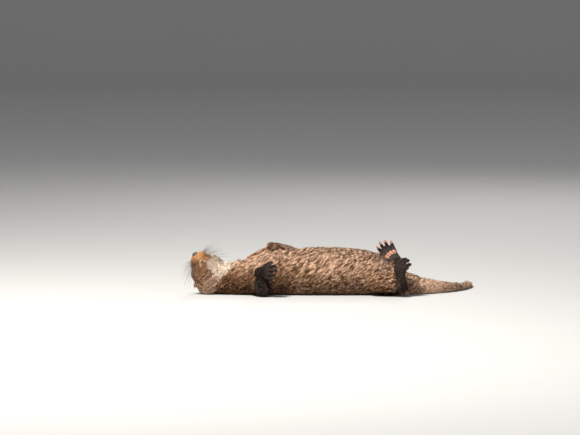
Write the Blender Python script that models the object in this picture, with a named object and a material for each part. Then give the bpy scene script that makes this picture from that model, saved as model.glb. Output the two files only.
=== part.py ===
"""An otter asleep on its back, life size, as one still model in named solids.

Row frame, metres: +X runs from the head towards the tail, +Z is up and the animal's belly faces it.
The animal's right side is at -Y. The floor is z = 0, and the origin lies on the flat under the back.
"""

import math

import bmesh
import bpy
from mathutils import Matrix, Vector

# ---------------------------------------------------------------- driving dimensions
GAP = 0.0004  # a thin cut between two solids
FLOOR_DIP = 0.007  # how far the soft underside would sink, and is cut flat instead
SIDES = 28  # points round a loft of the trunk or head
LIMB_SIDES = 16
EAR_SIDES = 10

# The trunk, chest to tail root: x, height of the upper outline, half width.
TRUNK = (
    (-0.235, 0.088, 0.052),
    (-0.195, 0.102, 0.063),
    (-0.140, 0.126, 0.071),
    (-0.070, 0.139, 0.077),
    (0.050, 0.148, 0.082),
    (0.160, 0.143, 0.080),
    (0.225, 0.127, 0.074),
    (0.272, 0.092, 0.064),
    (0.315, 0.072, 0.050),
    (0.350, 0.060, 0.036),
)

# The neck, chest to skull: centre and radius.
NECK = (
    ((-0.170, 0.000, 0.052), 0.058),
    ((-0.222, 0.004, 0.048), 0.055),
    ((-0.262, 0.008, 0.048), 0.054),
    ((-0.292, 0.006, 0.060), 0.050),
)

# The head, in its own frame: x' forwards, y' to the animal's left, z' out of the crown.
NOSE_TIP = Vector((-0.3435, -0.026, 0.1290))
HEAD_FORWARD = Vector((-0.56, -0.22, 0.80))
HEAD_CROWN = Vector((-0.15, 1.0, -0.22))
# Distance behind the nose tip, half width, height of the crown, depth of the throat.
HEAD = (
    (0.001, 0.0095, 0.0085, 0.0050),
    (0.006, 0.0175, 0.0135, 0.0110),
    (0.015, 0.0265, 0.0175, 0.0165),
    (0.027, 0.0345, 0.0215, 0.0200),
    (0.040, 0.0412, 0.0265, 0.0235),
    (0.057, 0.0490, 0.0320, 0.0280),
    (0.076, 0.0560, 0.0350, 0.0330),
    (0.095, 0.0600, 0.0355, 0.0375),
    (0.113, 0.0595, 0.0335, 0.0400),
    (0.128, 0.0510, 0.0280, 0.0360),
)
LIP_BACK, LIP_OUT, LIP_DOWN = 0.0175, 0.0150, 0.0060  # whisker pads of the upper lip
LIP_SIZE = (0.0150, 0.0135, 0.0115)
CHEEK_BACK, CHEEK_OUT, CHEEK_SIZE = 0.068, 0.0345, (0.034, 0.0205, 0.0210)
CHIN_BACK, CHIN_DEPTH, CHIN_SIZE = 0.0240, 0.0150, (0.0125, 0.0105, 0.0075)
EYE_BACK, EYE_OUT, EYE_UP, EYE_RADIUS = 0.0400, 0.0248, 0.0165, 0.0056
EAR_BACK, EAR_OUT, EAR_UP = 0.0830, 0.0465, 0.0205
EAR_WIDTH, EAR_HEIGHT, EAR_THICKNESS, EAR_DISH = 0.0260, 0.0200, 0.0080, 0.45
EAR_LEAN, EAR_FACING = (-0.35, 0.72, 0.60), (0.80, 0.55, -0.10)  # of the left ear, on the head
EAR_SECTIONS = ((-0.35, 0.62), (0.0, 0.86), (0.35, 1.0), (0.68, 0.86), (0.90, 0.52))  # shares of its size
NOSE_BACK, NOSE_UP = 0.0035, 0.0015
NOSE_SIZE = (0.0070, 0.0100, 0.0075)

# The tail lies on the floor and curves away to the animal's left.
TAIL_ROOT = Vector((0.318, 0.0, 0.0))
TAIL_LENGTH = 0.385
TAIL_TURN = (math.radians(14), math.radians(108))  # heading at the root and at the tip
TAIL_THICKNESS = (0.066, 0.044, 0.027, 0.018, 0.011)
TAIL_WIDTH = (0.082, 0.060, 0.043, 0.029, 0.016)
TAIL_STEPS = 20
TAIL_CURL = 1.2  # above 1, the tail turns more towards its tip
TAIL_DIP = 0.12  # most of its thickness that is cut flat

# Limbs: joint positions and radii from the trunk to the wrist or ankle.
FORE_RIGHT = (
    ((-0.168, -0.045, 0.060), 0.030),
    ((-0.128, -0.090, 0.0215), 0.025),
    ((-0.136, -0.100, 0.078), 0.0165),
)
FORE_LEFT = (
    ((-0.185, 0.040, 0.070), 0.030),
    ((-0.158, 0.070, 0.098), 0.0235),
    ((-0.094, 0.028, 0.1450), 0.0160),
)
HIND_RIGHT = (
    ((0.285, -0.034, 0.046), 0.040),
    ((0.222, -0.070, 0.044), 0.030),
    ((0.305, -0.090, 0.031), 0.0185),
)
HIND_LEFT = (
    ((0.285, 0.034, 0.048), 0.040),
    ((0.232, 0.074, 0.052), 0.030),
    ((0.305, 0.076, 0.084), 0.0185),
)

LIMBS = {
    "fore_right": FORE_RIGHT,
    "fore_left": FORE_LEFT,
    "hind_right": HIND_RIGHT,
    "hind_left": HIND_LEFT,
}
SEGMENTS = {
    "fore_right": ("upper_arm_right", "forearm_right", "forepaw_right"),
    "fore_left": ("upper_arm_left", "forearm_left", "forepaw_left"),
    "hind_right": ("thigh_right", "shank_right", "hind_foot_right"),
    "hind_left": ("thigh_left", "shank_left", "hind_foot_left"),
}
LIMB_SPARE = 0.004  # how far a limb's solid reaches outside its joints' radii

# Cuts between the head, neck and trunk, each facing the nose.
HEAD_CUT, HEAD_CUT_NORMAL = (-0.263, 0.0, 0.046), (-0.79, 0.0, 0.61)
NECK_CUT, NECK_CUT_NORMAL = (-0.212, 0.0, 0.050), (-0.95, 0.0, 0.30)

TOES = (-2, -1, 0, 1, 2)
TOE_SHORTER, FIRST_TOE_SHORTER, TOE_SET_BACK = 0.055, 0.05, 0.0022  # towards the outer toes
TOE_BONES = (0.42, 0.32, 0.26)  # shares of the toe's length
TOE_PITCHES = ((0.20, 0.55), (-0.10, 0.85), (-0.42, 1.10))  # slope of each bone, and how the bend adds
TOE_TAPER = (1.0, 0.92, 0.78)
TOE_PAD, SOLE_PAD = (1.15, 0.95, 0.75), (1.5, 1.0, 0.7)  # half axes, in toe radii
SOLE_PAD_BACK, SOLE_PAD_ARC = 0.006, 0.003
CLAW_LIFT, CLAW_DROOP, CLAW_SUNK, CLAW_DEPTH = 0.42, 0.75, 0.15, 1.2


class Foot:
    """Sizes of a fore or hind foot, in its own frame: x' to the toes, z' out of its back."""

    def __init__(self, sole, toe_root, toe_step, fan, toe_length, toe_radius, claw_length):
        self.sole = sole  # distance from the joint, half width, half thickness
        self.toe_root = toe_root
        self.toe_step = toe_step
        self.fan = fan
        self.toe_length = toe_length
        self.toe_radius = toe_radius
        self.claw_length = claw_length


FORE_FOOT = Foot(
    sole=(
        (-0.022, 0.0130, 0.0120),
        (0.000, 0.0155, 0.0125),
        (0.015, 0.0195, 0.0105),
        (0.031, 0.0220, 0.0090),
        (0.041, 0.0190, 0.0060),
    ),
    toe_root=0.033,
    toe_step=0.0090,
    fan=math.radians(14),
    toe_length=0.037,
    toe_radius=0.0052,
    claw_length=0.0080,
)
HIND_FOOT = Foot(
    sole=(
        (-0.022, 0.0140, 0.0140),
        (0.000, 0.0165, 0.0140),
        (0.020, 0.0185, 0.0110),
        (0.042, 0.0235, 0.0095),
        (0.060, 0.0245, 0.0075),
        (0.068, 0.0200, 0.0050),
    ),
    toe_root=0.058,
    toe_step=0.0102,
    fan=math.radians(9),
    toe_length=0.046,
    toe_radius=0.0058,
    claw_length=0.0080,
)
CLAW_SECTIONS = ((0.0, 0.0017), (0.5, 0.0014), (0.85, 0.0009), (1.0, 0.0005))  # share of length, radius
WEB_THICKNESS = 0.0026
WEB_REACH = 0.72  # share of the toe's length that the web joins
WEB_HOLLOW = 0.22  # how far its free edge curves in

# How each foot is held: direction of the sole, direction of its back, bend of the toes
# against the sole, and the side of y' that the first toe is on.
FEET = {
    "fore_right": (FORE_FOOT, (0.58, -0.74, 0.20), (-0.74, -0.60, 0.20), 0.75, 1),
    "fore_left": (FORE_FOOT, (0.98, -0.16, 0.03), (-0.03, 0.10, 0.99), 0.42, -1),
    "hind_right": (HIND_FOOT, (-0.16, -0.05, 0.98), (-0.78, -0.60, -0.10), 1.10, 1),
    "hind_left": (HIND_FOOT, (-0.60, 0.48, 0.52), (0.05, 0.80, -0.60), 0.50, -1),
}

# Triangles kept in each group of solids, and the grid that joins its lofts.
BODY_GRID, BODY_TRIANGLES, BODY_SMOOTHING = 0.0030, 2040, 9
FOOT_GRID, FOOT_TRIANGLES, FOOT_SMOOTHING = 0.0013, 400, 4
FOOT_SPARE, SPACE_GRID, SPACE_TRIANGLES = 0.0031, 0.0018, 240  # the room that a foot takes out of the body

ROOM = 1.5  # side of a block that holds all of the body on one side of a plane
FOOT_ROOM = 0.2  # the same for a foot
DOME = (0.6, 0.92)  # where the rings of a domed end stand, as shares of its radius

COLOURS = {
    "fur": ((0.245, 0.150, 0.090), 0.8),
    "foot": ((0.060, 0.045, 0.038), 0.6),
    "nose": ((0.030, 0.024, 0.024), 0.35),
    "claw": ((0.190, 0.140, 0.110), 0.4),
    "eye": ((0.015, 0.011, 0.010), 0.08),
}
DETAIL_FINISH = {"nose": "nose", "eye": "eye", "ear": "fur"}


# ---------------------------------------------------------------- meshes
def clear_scene():
    for obj in list(bpy.data.objects):
        bpy.data.objects.remove(obj)


def material(name):
    found = bpy.data.materials.get(name)
    if found:
        return found
    colour, roughness = COLOURS[name]
    made = bpy.data.materials.new(name)
    made.use_nodes = True
    shader = made.node_tree.nodes["Principled BSDF"]
    shader.inputs["Base Color"].default_value = (*colour, 1)
    shader.inputs["Roughness"].default_value = roughness
    return made


def new_object(name, mesh, finish=None):
    obj = bpy.data.objects.new(name, mesh)
    bpy.context.scene.collection.objects.link(obj)
    if finish:
        mesh.materials.clear()
        mesh.materials.append(material(finish))
    return obj


def loft(rings):
    """A closed tube through rings of points, with a point in the middle of each end."""
    bm = bmesh.new()
    loops = [[bm.verts.new(point) for point in points] for points in rings]
    count = len(loops[0])
    for first, second in zip(loops, loops[1:]):
        for i in range(count):
            j = (i + 1) % count
            bm.faces.new((first[i], first[j], second[j], second[i]))
    for loop in (loops[0], loops[-1]):
        middle = sum((v.co for v in loop), Vector()) / count
        tip = bm.verts.new(middle)
        for i in range(count):
            bm.faces.new((loop[i], loop[(i + 1) % count], tip))
    bmesh.ops.recalc_face_normals(bm, faces=bm.faces)
    mesh = bpy.data.meshes.new("loft")
    bm.to_mesh(mesh)
    bm.free()
    return mesh


def oval(centre, across, upward, half_width, above, below, sides):
    """A cross-section whose upper half reaches above, and its lower half below."""
    points = []
    for i in range(sides):
        turn = 2 * math.pi * i / sides
        rise = math.sin(turn)
        reach = above if rise > 0 else below
        points.append(centre + across * half_width * math.cos(turn) + upward * reach * rise)
    return points


def between(rows, steps):
    """Rows of numbers made finer, on a Catmull-Rom curve through them."""
    fine = []
    for i in range(len(rows) - 1):
        before = rows[max(i - 1, 0)]
        after = rows[min(i + 2, len(rows) - 1)]
        for k in range(steps):
            t = k / steps
            row = []
            for p0, p1, p2, p3 in zip(before, rows[i], rows[i + 1], after):
                curve = 2 * p1 + (p2 - p0) * t + (2 * p0 - 5 * p1 + 4 * p2 - p3) * t * t
                row.append(0.5 * (curve + (3 * p1 - p0 - 3 * p2 + p3) * t**3))
            fine.append(tuple(row))
    fine.append(tuple(rows[-1]))
    return fine


def tube(chain, sides, steps=6, upward=Vector((0, 0, 1))):
    """A loft along joints (position, radius) with domed ends."""
    rows = between([(*joint, radius) for joint, radius in chain], steps)
    points = [Vector(row[:3]) for row in rows]
    radii = [row[3] for row in rows]
    rings = []
    last = len(points) - 1
    for i, (point, radius) in enumerate(zip(points, radii)):
        along = (points[min(i + 1, last)] - points[max(i - 1, 0)]).normalized()
        across = along.cross(upward).normalized()
        rise = across.cross(along)
        shares = [0]
        if i == 0:
            shares = [-DOME[1], -DOME[0], 0]
        if i == last:
            shares = [0, *DOME]
        for share in shares:
            size = radius * math.sqrt(1 - share * share)
            rings.append(oval(point + along * radius * share, across, rise, size, size, size, sides))
    return loft(rings)


def ball(frame, centre, size, segments=16):
    """An ellipsoid with half axes size, along the axes of a frame."""
    bm = bmesh.new()
    place = frame @ Matrix.Translation(centre) @ Matrix.Diagonal((*size, 1))
    bmesh.ops.create_uvsphere(bm, u_segments=segments, v_segments=segments // 2, radius=1, matrix=place)
    mesh = bpy.data.meshes.new("ball")
    bm.to_mesh(mesh)
    bm.free()
    return mesh


def joined(meshes):
    """One mesh that holds all of these."""
    bm = bmesh.new()
    for mesh in meshes:
        bm.from_mesh(mesh)
    mesh = bpy.data.meshes.new("joined")
    bm.to_mesh(mesh)
    bm.free()
    return mesh


def evaluated(mesh, add_modifiers):
    """The mesh after the modifiers that add_modifiers puts on an object that holds it."""
    helper = new_object("helper", mesh)
    add_modifiers(helper)
    graph = bpy.context.evaluated_depsgraph_get()
    made = bpy.data.meshes.new_from_object(helper.evaluated_get(graph))
    bpy.data.objects.remove(helper)
    return made


def fused(meshes, grid, smoothing, triangles):
    """Overlapping lofts as one smooth closed surface with about that many triangles."""

    def grow_together(obj):
        remesh = obj.modifiers.new("remesh", "REMESH")
        remesh.mode = "VOXEL"
        remesh.voxel_size = grid
        smooth = obj.modifiers.new("smooth", "SMOOTH")
        smooth.factor = 0.5
        smooth.iterations = smoothing
        obj.modifiers.new("triangles", "TRIANGULATE")

    fine = evaluated(joined(meshes), grow_together)

    def thin_out(obj):
        decimate = obj.modifiers.new("decimate", "DECIMATE")
        decimate.ratio = min(1.0, triangles / len(fine.polygons))

    return evaluated(fine, thin_out)


def boolean(mesh, other, operation):
    tool = new_object("tool", other)

    def add(obj):
        modifier = obj.modifiers.new("boolean", "BOOLEAN")
        modifier.operation = operation
        modifier.object = tool
        modifier.solver = "EXACT"

    made = evaluated(mesh, add)
    bpy.data.objects.remove(tool)
    return made


def grown(mesh, amount):
    """A copy of a closed mesh whose every face lies that far outside the first one's."""
    bm = bmesh.new()
    bm.from_mesh(mesh)
    bm.normal_update()
    moves = []
    for vertex in bm.verts:
        lean = min(vertex.normal.dot(face.normal) for face in vertex.link_faces)
        moves.append(vertex.normal * amount / max(lean, 0.6))
    for vertex, move in zip(bm.verts, moves):
        vertex.co += move
    made = bpy.data.meshes.new("grown")
    bm.to_mesh(made)
    bm.free()
    return made


def part(body, cutter):
    """Splits a body in two: what lies in the cutter, and the rest, a thin gap away."""
    inside = boolean(body, cutter, "INTERSECT")
    outside = boolean(body, grown(cutter, GAP), "DIFFERENCE")
    return inside, outside


def block(point, normal, side):
    """A cube on one side of a plane: its near face is centred on point, and it runs along normal."""
    normal = Vector(normal).normalized()
    turn = normal.to_track_quat("X", "Z").to_matrix().to_4x4()
    place = Matrix.Translation(Vector(point) + normal * side / 2) @ turn
    bm = bmesh.new()
    bmesh.ops.create_cube(bm, size=side, matrix=place)
    mesh = bpy.data.meshes.new("block")
    bm.to_mesh(mesh)
    bm.free()
    return mesh


def cut_flat(mesh):
    """Takes away what is under the floor, and closes the flat."""
    bm = bmesh.new()
    bm.from_mesh(mesh)
    everything = bm.verts[:] + bm.edges[:] + bm.faces[:]
    cut = bmesh.ops.bisect_plane(
        bm, geom=everything, plane_co=(0, 0, 0), plane_no=(0, 0, -1), clear_outer=True, dist=1e-6
    )
    edges = [e for e in cut["geom_cut"] if isinstance(e, bmesh.types.BMEdge)]
    bmesh.ops.holes_fill(bm, edges=edges)
    bmesh.ops.triangulate(bm, faces=bm.faces)
    made = bpy.data.meshes.new("flat")
    bm.to_mesh(made)
    bm.free()
    return made


def largest(mesh):
    """The biggest connected body of a mesh, without crumbs that a cut left."""
    bm = bmesh.new()
    bm.from_mesh(mesh)
    left = set(bm.verts)
    bodies = []
    while left:
        body, front = set(), [left.pop()]
        while front:
            vertex = front.pop()
            body.add(vertex)
            for edge in vertex.link_edges:
                other = edge.other_vert(vertex)
                if other in left:
                    left.discard(other)
                    front.append(other)
        bodies.append(body)
    bodies.sort(key=len)
    for body in bodies[:-1]:
        bmesh.ops.delete(bm, geom=list(body), context="VERTS")
    made = bpy.data.meshes.new("body")
    bm.to_mesh(made)
    bm.free()
    return made


def frame_of(origin, forward, back):
    """A frame with x' along forward, and z' as near to back as it can be."""
    x = Vector(forward).normalized()
    z = Vector(back)
    z = (z - x * x.dot(z)).normalized()
    y = z.cross(x)
    turn = Matrix((x, y, z)).transposed().to_4x4()
    return Matrix.Translation(origin) @ turn


# ---------------------------------------------------------------- trunk, neck and tail
def trunk_loft():
    rings = []
    for x, top, half_width in between(TRUNK, 5):
        middle = (top - FLOOR_DIP) / 2
        reach = (top + FLOOR_DIP) / 2
        centre = Vector((x, 0, middle))
        rings.append(oval(centre, Vector((0, 1, 0)), Vector((0, 0, 1)), half_width, reach, reach, SIDES))
    return loft(rings)


def tail_path():
    """Points along the tail on the floor, with the heading at each."""
    start, end = TAIL_TURN
    point = TAIL_ROOT.copy()
    path = []
    for i in range(TAIL_STEPS + 1):
        share = i / TAIL_STEPS
        heading = start + (end - start) * share**TAIL_CURL
        along = Vector((math.cos(heading), math.sin(heading), 0))
        path.append((point.copy(), along))
        point += along * TAIL_LENGTH / TAIL_STEPS
    return path


def tail_loft():
    path = tail_path()
    sizes = between(list(zip(TAIL_THICKNESS, TAIL_WIDTH)), TAIL_STEPS // (len(TAIL_WIDTH) - 1))
    rings = []
    for (point, along), (thickness, width) in zip(path, sizes):
        across = Vector((-along.y, along.x, 0))
        dip = min(FLOOR_DIP, thickness * TAIL_DIP)
        centre = point + Vector((0, 0, thickness / 2 - dip))
        rings.append(oval(centre, across, Vector((0, 0, 1)), width / 2, thickness / 2, thickness / 2, 18))
    return loft(rings)


# ---------------------------------------------------------------- head
def head_frame():
    """Origin at the nose tip, so a place on the head is (-distance behind it, left, up)."""
    return frame_of(NOSE_TIP, HEAD_FORWARD, HEAD_CROWN)


def head_loft(frame):
    turn = frame.to_3x3()
    across, upward = turn @ Vector((0, 1, 0)), turn @ Vector((0, 0, 1))
    rings = []
    for back, half_width, above, below in between(HEAD, 3):
        centre = frame @ Vector((-back, 0, 0))
        rings.append(oval(centre, across, upward, half_width, above, below, SIDES))
    return loft(rings)


def head_masses(frame):
    """Whisker pads, cheeks and chin, which stand out from the skull's plain loft."""
    masses = [ball(frame, Vector((-CHIN_BACK, 0, -CHIN_DEPTH)), CHIN_SIZE)]
    for side in (-1, 1):
        masses.append(ball(frame, Vector((-LIP_BACK, side * LIP_OUT, -LIP_DOWN)), LIP_SIZE))
        masses.append(ball(frame, Vector((-CHEEK_BACK, side * CHEEK_OUT, 0)), CHEEK_SIZE))
    return masses


def ear_mesh(frame, side):
    """A small round ear: a thick leaf, hollowed on the side that faces forwards and out."""
    root = frame @ Vector((-EAR_BACK, side * EAR_OUT, EAR_UP))
    turn = frame.to_3x3()
    mirror = Vector((1, side, 1))
    place = frame_of(root, turn @ (Vector(EAR_LEAN) * mirror), turn @ (Vector(EAR_FACING) * mirror))
    rings = []
    for share, width in EAR_SECTIONS:
        hollow = EAR_THICKNESS * EAR_DISH * math.sin(math.pi * max(share, 0))
        ring = []
        for i in range(EAR_SIDES):
            turn_round = 2 * math.pi * i / EAR_SIDES
            y = math.cos(turn_round)
            z = math.sin(turn_round)
            depth = z * EAR_THICKNESS / 2 * (1 - 0.4 * max(share, 0))
            dish = -hollow * (1 - y * y)
            ring.append(place @ Vector((share * EAR_HEIGHT, y * width * EAR_WIDTH / 2, depth + dish)))
        rings.append(ring)
    return loft(rings)


# ---------------------------------------------------------------- feet
def toe_joints(foot, toe, bend, first_side):
    """Positions and radii along a toe, in the foot's frame. Toe runs -2 to 2, from y' below zero up."""
    shorter = TOE_SHORTER * toe * toe + (FIRST_TOE_SHORTER if toe * first_side == 2 else 0)
    length = foot.toe_length * (1 - shorter)
    side = toe * foot.fan
    point = Vector((foot.toe_root - TOE_SET_BACK * toe * toe, toe * foot.toe_step, 0))
    joints = [(point, foot.toe_radius)]
    for (slope, added), share, radius in zip(TOE_PITCHES, TOE_BONES, TOE_TAPER):
        pitch = slope - bend * added
        step = Vector((math.cos(pitch) * math.cos(side), math.cos(pitch) * math.sin(side), math.sin(pitch)))
        point = point + step * length * share
        joints.append((point, foot.toe_radius * radius))
    return joints


def web_mesh(frame, first, second, thickness):
    """A sheet of skin between two neighbouring toes, with a hollow free edge."""
    rows = 5
    columns = 4
    grid = []
    fine = [between([tuple(p) for p, _ in joints], 4) for joints in (first, second)]
    last = len(fine[0]) - 1
    for r in range(rows + 1):
        row = []
        for c in range(columns + 1):
            across = c / columns
            hollow = 1 - WEB_HOLLOW * math.sin(math.pi * across)
            place = WEB_REACH * r / rows * (hollow if r else 1) * last
            low = int(place)
            share = place - low
            ends = []
            for line in fine:
                a, b = Vector(line[low]), Vector(line[min(low + 1, last)])
                ends.append(a.lerp(b, share))
            row.append(ends[0].lerp(ends[1], across))
        grid.append(row)
    bm = bmesh.new()
    half = Vector((0, 0, thickness / 2))
    sheets = []
    for offset in (half, -half):
        sheets.append([[bm.verts.new(frame @ (p + offset)) for p in row] for row in grid])
    top, under = sheets
    for r in range(rows):
        for c in range(columns):
            bm.faces.new((top[r][c], top[r][c + 1], top[r + 1][c + 1], top[r + 1][c]))
            bm.faces.new((under[r][c], under[r + 1][c], under[r + 1][c + 1], under[r][c + 1]))
    rim = [(0, c) for c in range(columns)] + [(r, columns) for r in range(rows)]
    rim += [(rows, c) for c in range(columns, 0, -1)] + [(r, 0) for r in range(rows, 0, -1)]
    for (r1, c1), (r2, c2) in zip(rim, rim[1:] + rim[:1]):
        bm.faces.new((top[r1][c1], under[r1][c1], under[r2][c2], top[r2][c2]))
    bmesh.ops.recalc_face_normals(bm, faces=bm.faces)
    mesh = bpy.data.meshes.new("web")
    bm.to_mesh(mesh)
    bm.free()
    return mesh


def pads(frame, foot, toes, spare):
    """Bare pads under the toe tips, and lobes across the front of the sole."""
    made = []
    for joints in toes:
        tip, radius = joints[-1]
        before, _ = joints[-2]
        along = (tip - before).normalized()
        centre = tip - along * radius * 0.4
        under = Vector((along.z, 0, -along.x)) * radius * 0.45
        size = [radius * share + spare for share in TOE_PAD]
        made.append(ball(frame, centre + under, size, 12))
    for toe in (-1.5, -0.5, 0.5, 1.5):
        back = SOLE_PAD_BACK + SOLE_PAD_ARC * abs(toe)
        place = Vector((foot.toe_root - back, toe * foot.toe_step, -foot.sole[-2][2]))
        size = [foot.toe_radius * share + spare for share in SOLE_PAD]
        made.append(ball(frame, place, size, 12))
    return made


def claw_mesh(frame, foot, joints):
    """A short curved claw whose root is sunk in the top of the toe's tip."""
    tip, radius = joints[-1]
    before, _ = joints[-2]
    along = (tip - before).normalized()
    over = Vector((-along.z, 0, along.x)).normalized()
    rings = []
    for share, size in CLAW_SECTIONS:
        rise = over * radius * (CLAW_LIFT - CLAW_DROOP * share * share)
        centre = tip + rise + along * foot.claw_length * (share - CLAW_SUNK)
        across = over.cross(along).normalized()
        ring = oval(centre, across, over, size, size * CLAW_DEPTH, size * CLAW_DEPTH, 4)
        rings.append([frame @ point for point in ring])
    return loft(rings)


def foot_lofts(frame, foot, toes, spare):
    """The overlapping forms of a foot, each of them fatter by spare."""
    turn = frame.to_3x3()
    across, upward = turn @ Vector((0, 1, 0)), turn @ Vector((0, 0, 1))
    rings = []
    for out, half_width, half_depth in between(foot.sole, 3):
        centre = frame @ Vector((out, 0, 0))
        depth = half_depth + spare
        rings.append(oval(centre, across, upward, half_width + spare, depth, depth, LIMB_SIDES))
    meshes = [loft(rings)]
    for joints in toes:
        chain = [(frame @ point, radius + spare) for point, radius in joints]
        meshes.append(tube(chain, 12, 4, upward=upward))
    for first, second in zip(toes, toes[1:]):
        meshes.append(web_mesh(frame, first, second, WEB_THICKNESS + 2 * spare))
    return meshes + pads(frame, foot, toes, spare)


def foot_solids(name):
    """The foot's flesh from the wrist or ankle on, the space it takes, and its five claws."""
    foot, forward, back, bend, first_side = FEET[name]
    frame = frame_of(Vector(LIMBS[name][-1][0]), forward, back)
    toes = [toe_joints(foot, toe, bend, first_side) for toe in TOES]
    wrist, normal = frame.translation, wrist_normal(name)
    kept = block(wrist + normal * GAP / 2, normal, FOOT_ROOM)
    flesh = fused(foot_lofts(frame, foot, toes, 0), FOOT_GRID, FOOT_SMOOTHING, FOOT_TRIANGLES)
    flesh = largest(boolean(flesh, kept, "INTERSECT"))
    end = ball(frame, Vector(), (LIMBS[name][-1][1] + LIMB_SPARE,) * 3)
    room = [end, *foot_lofts(frame, foot, toes, FOOT_SPARE)]
    space = fused(room, SPACE_GRID, FOOT_SMOOTHING, SPACE_TRIANGLES)
    kept = block(wrist - normal * GAP / 2, normal, FOOT_ROOM)
    space = largest(boolean(space, kept, "INTERSECT"))
    claws = {}
    for number, joints in enumerate(toes, 1):
        claws[f"claw_{name}_{number}"] = claw_mesh(frame, foot, joints)
    return flesh, space, claws


# ---------------------------------------------------------------- assembly
def boxes_meet(first, second):
    """Whether the boxes round two meshes overlap."""
    low_1, high_1 = box_of(first)
    low_2, high_2 = box_of(second)
    return all(low_1[i] < high_2[i] and low_2[i] < high_1[i] for i in range(3))


def box_of(mesh):
    places = [v.co for v in mesh.vertices]
    low = [min(p[i] for p in places) for i in range(3)]
    high = [max(p[i] for p in places) for i in range(3)]
    return low, high


def cut_from(mesh, spaces):
    """A body less the spaces of its neighbours."""
    for space in spaces:
        if boxes_meet(mesh, space):
            mesh = boolean(mesh, space, "DIFFERENCE")
    return largest(mesh)


def limb_space(chain, end, end_normal):
    """The room round a limb's segment, as far as a plane across it at one end."""
    room = tube([(place, radius + LIMB_SPARE) for place, radius in chain], 8, 1)
    kept = block(Vector(end) - Vector(end_normal) * GAP / 2, -Vector(end_normal), ROOM)
    return boolean(room, kept, "INTERSECT")


def wrist_normal(name):
    """The way that the cut through a wrist or ankle faces: between the limb's run and the foot's."""
    joint, end = [Vector(place) for place, _ in LIMBS[name][1:]]
    run = (end - joint).normalized()
    return (run + Vector(FEET[name][1]).normalized()).normalized()


def split_limb(body, name):
    """The upper and lower segments of a limb, and the body without them. The lower has the joint."""
    chain = LIMBS[name]
    root, joint = Vector(chain[0][0]), Vector(chain[1][0])
    lower_space = limb_space(chain[1:], chain[2][0], wrist_normal(name))
    upper_space = limb_space(chain[:2], root, (root - joint).normalized())
    lower, body = part(body, lower_space)
    upper, body = part(body, upper_space)
    return largest(upper), largest(lower), largest(body)


def halved(body, point, normal):
    """What lies ahead of a plane, and what lies behind it, a thin gap away."""
    normal = Vector(normal).normalized()
    ahead = boolean(body, block(Vector(point) + normal * GAP / 2, normal, ROOM), "INTERSECT")
    behind = boolean(body, block(Vector(point) - normal * GAP / 2, -normal, ROOM), "INTERSECT")
    return largest(ahead), largest(behind)


def body_mesh(head):
    lofts = [trunk_loft(), tail_loft(), tube(NECK, SIDES), head_loft(head), *head_masses(head)]
    for chain in LIMBS.values():
        for segment in (chain[:2], chain[1:]):
            lofts.append(tube(segment, LIMB_SIDES, 4))
    return cut_flat(fused(lofts, BODY_GRID, BODY_SMOOTHING, BODY_TRIANGLES))


def body_solids(head):
    """The flesh without the feet, parted into named solids."""
    body = body_mesh(head)
    solids = {}
    for name in LIMBS:
        upper, lower, body = split_limb(body, name)
        solids[SEGMENTS[name][0]] = upper
        solids[SEGMENTS[name][1]] = lower
    solids["head"], body = halved(body, HEAD_CUT, HEAD_CUT_NORMAL)
    solids["neck"], body = halved(body, NECK_CUT, NECK_CUT_NORMAL)
    tail, solids["trunk"] = halved(body, TAIL_ROOT, (1, 0, 0))
    path = tail_path()
    middle, along = path[TAIL_STEPS // 2]
    solids["tail_tip"], solids["tail_base"] = halved(tail, middle, along)
    return solids


def face_solids(head):
    """The nose pad, eyes and ears."""
    solids = {"nose": ball(head, Vector((-NOSE_BACK, 0, NOSE_UP)), NOSE_SIZE, 10)}
    for side, name in ((1, "left"), (-1, "right")):
        centre = Vector((-EYE_BACK, side * EYE_OUT, EYE_UP))
        solids[f"eye_{name}"] = ball(head, centre, (EYE_RADIUS,) * 3, 10)
        solids[f"ear_{name}"] = ear_mesh(head, side)
    return solids


def main():
    clear_scene()
    head = head_frame()
    flesh = body_solids(head)
    details = face_solids(head)
    feet = {}
    claws = {}
    spaces = []
    for name in FEET:
        feet[SEGMENTS[name][2]], space, own_claws = foot_solids(name)
        spaces.append(space)
        claws.update(own_claws)
    sockets = [grown(mesh, GAP) for mesh in claws.values()]
    for name, mesh in feet.items():
        feet[name] = cut_from(mesh, sockets)
    spaces += sockets + [grown(mesh, GAP) for mesh in details.values()]
    for name, mesh in flesh.items():
        flesh[name] = cut_from(mesh, spaces)
    for solids, finish in ((flesh, "fur"), (feet, "foot"), (claws, "claw")):
        for name, mesh in solids.items():
            new_object(name, mesh, finish)
    for name, mesh in details.items():
        new_object(name, mesh, DETAIL_FINISH[name.split("_")[0]])


main()
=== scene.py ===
"""Looks of an otter asleep on its back: one skin, a coat of tufts, face, pads, claws, and a stage.

Row frame, metres: +X runs from the head towards the tail, +Z is up and the belly faces it, and the
animal's right side is at -Y. The sizes of the forms are those of the solids, less the coat's depth.
"""

import math

import bmesh
import bpy
import numpy as np
from bpy.props import FloatProperty, FloatVectorProperty, IntProperty, PointerProperty
from mathutils import Matrix, Vector


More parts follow.
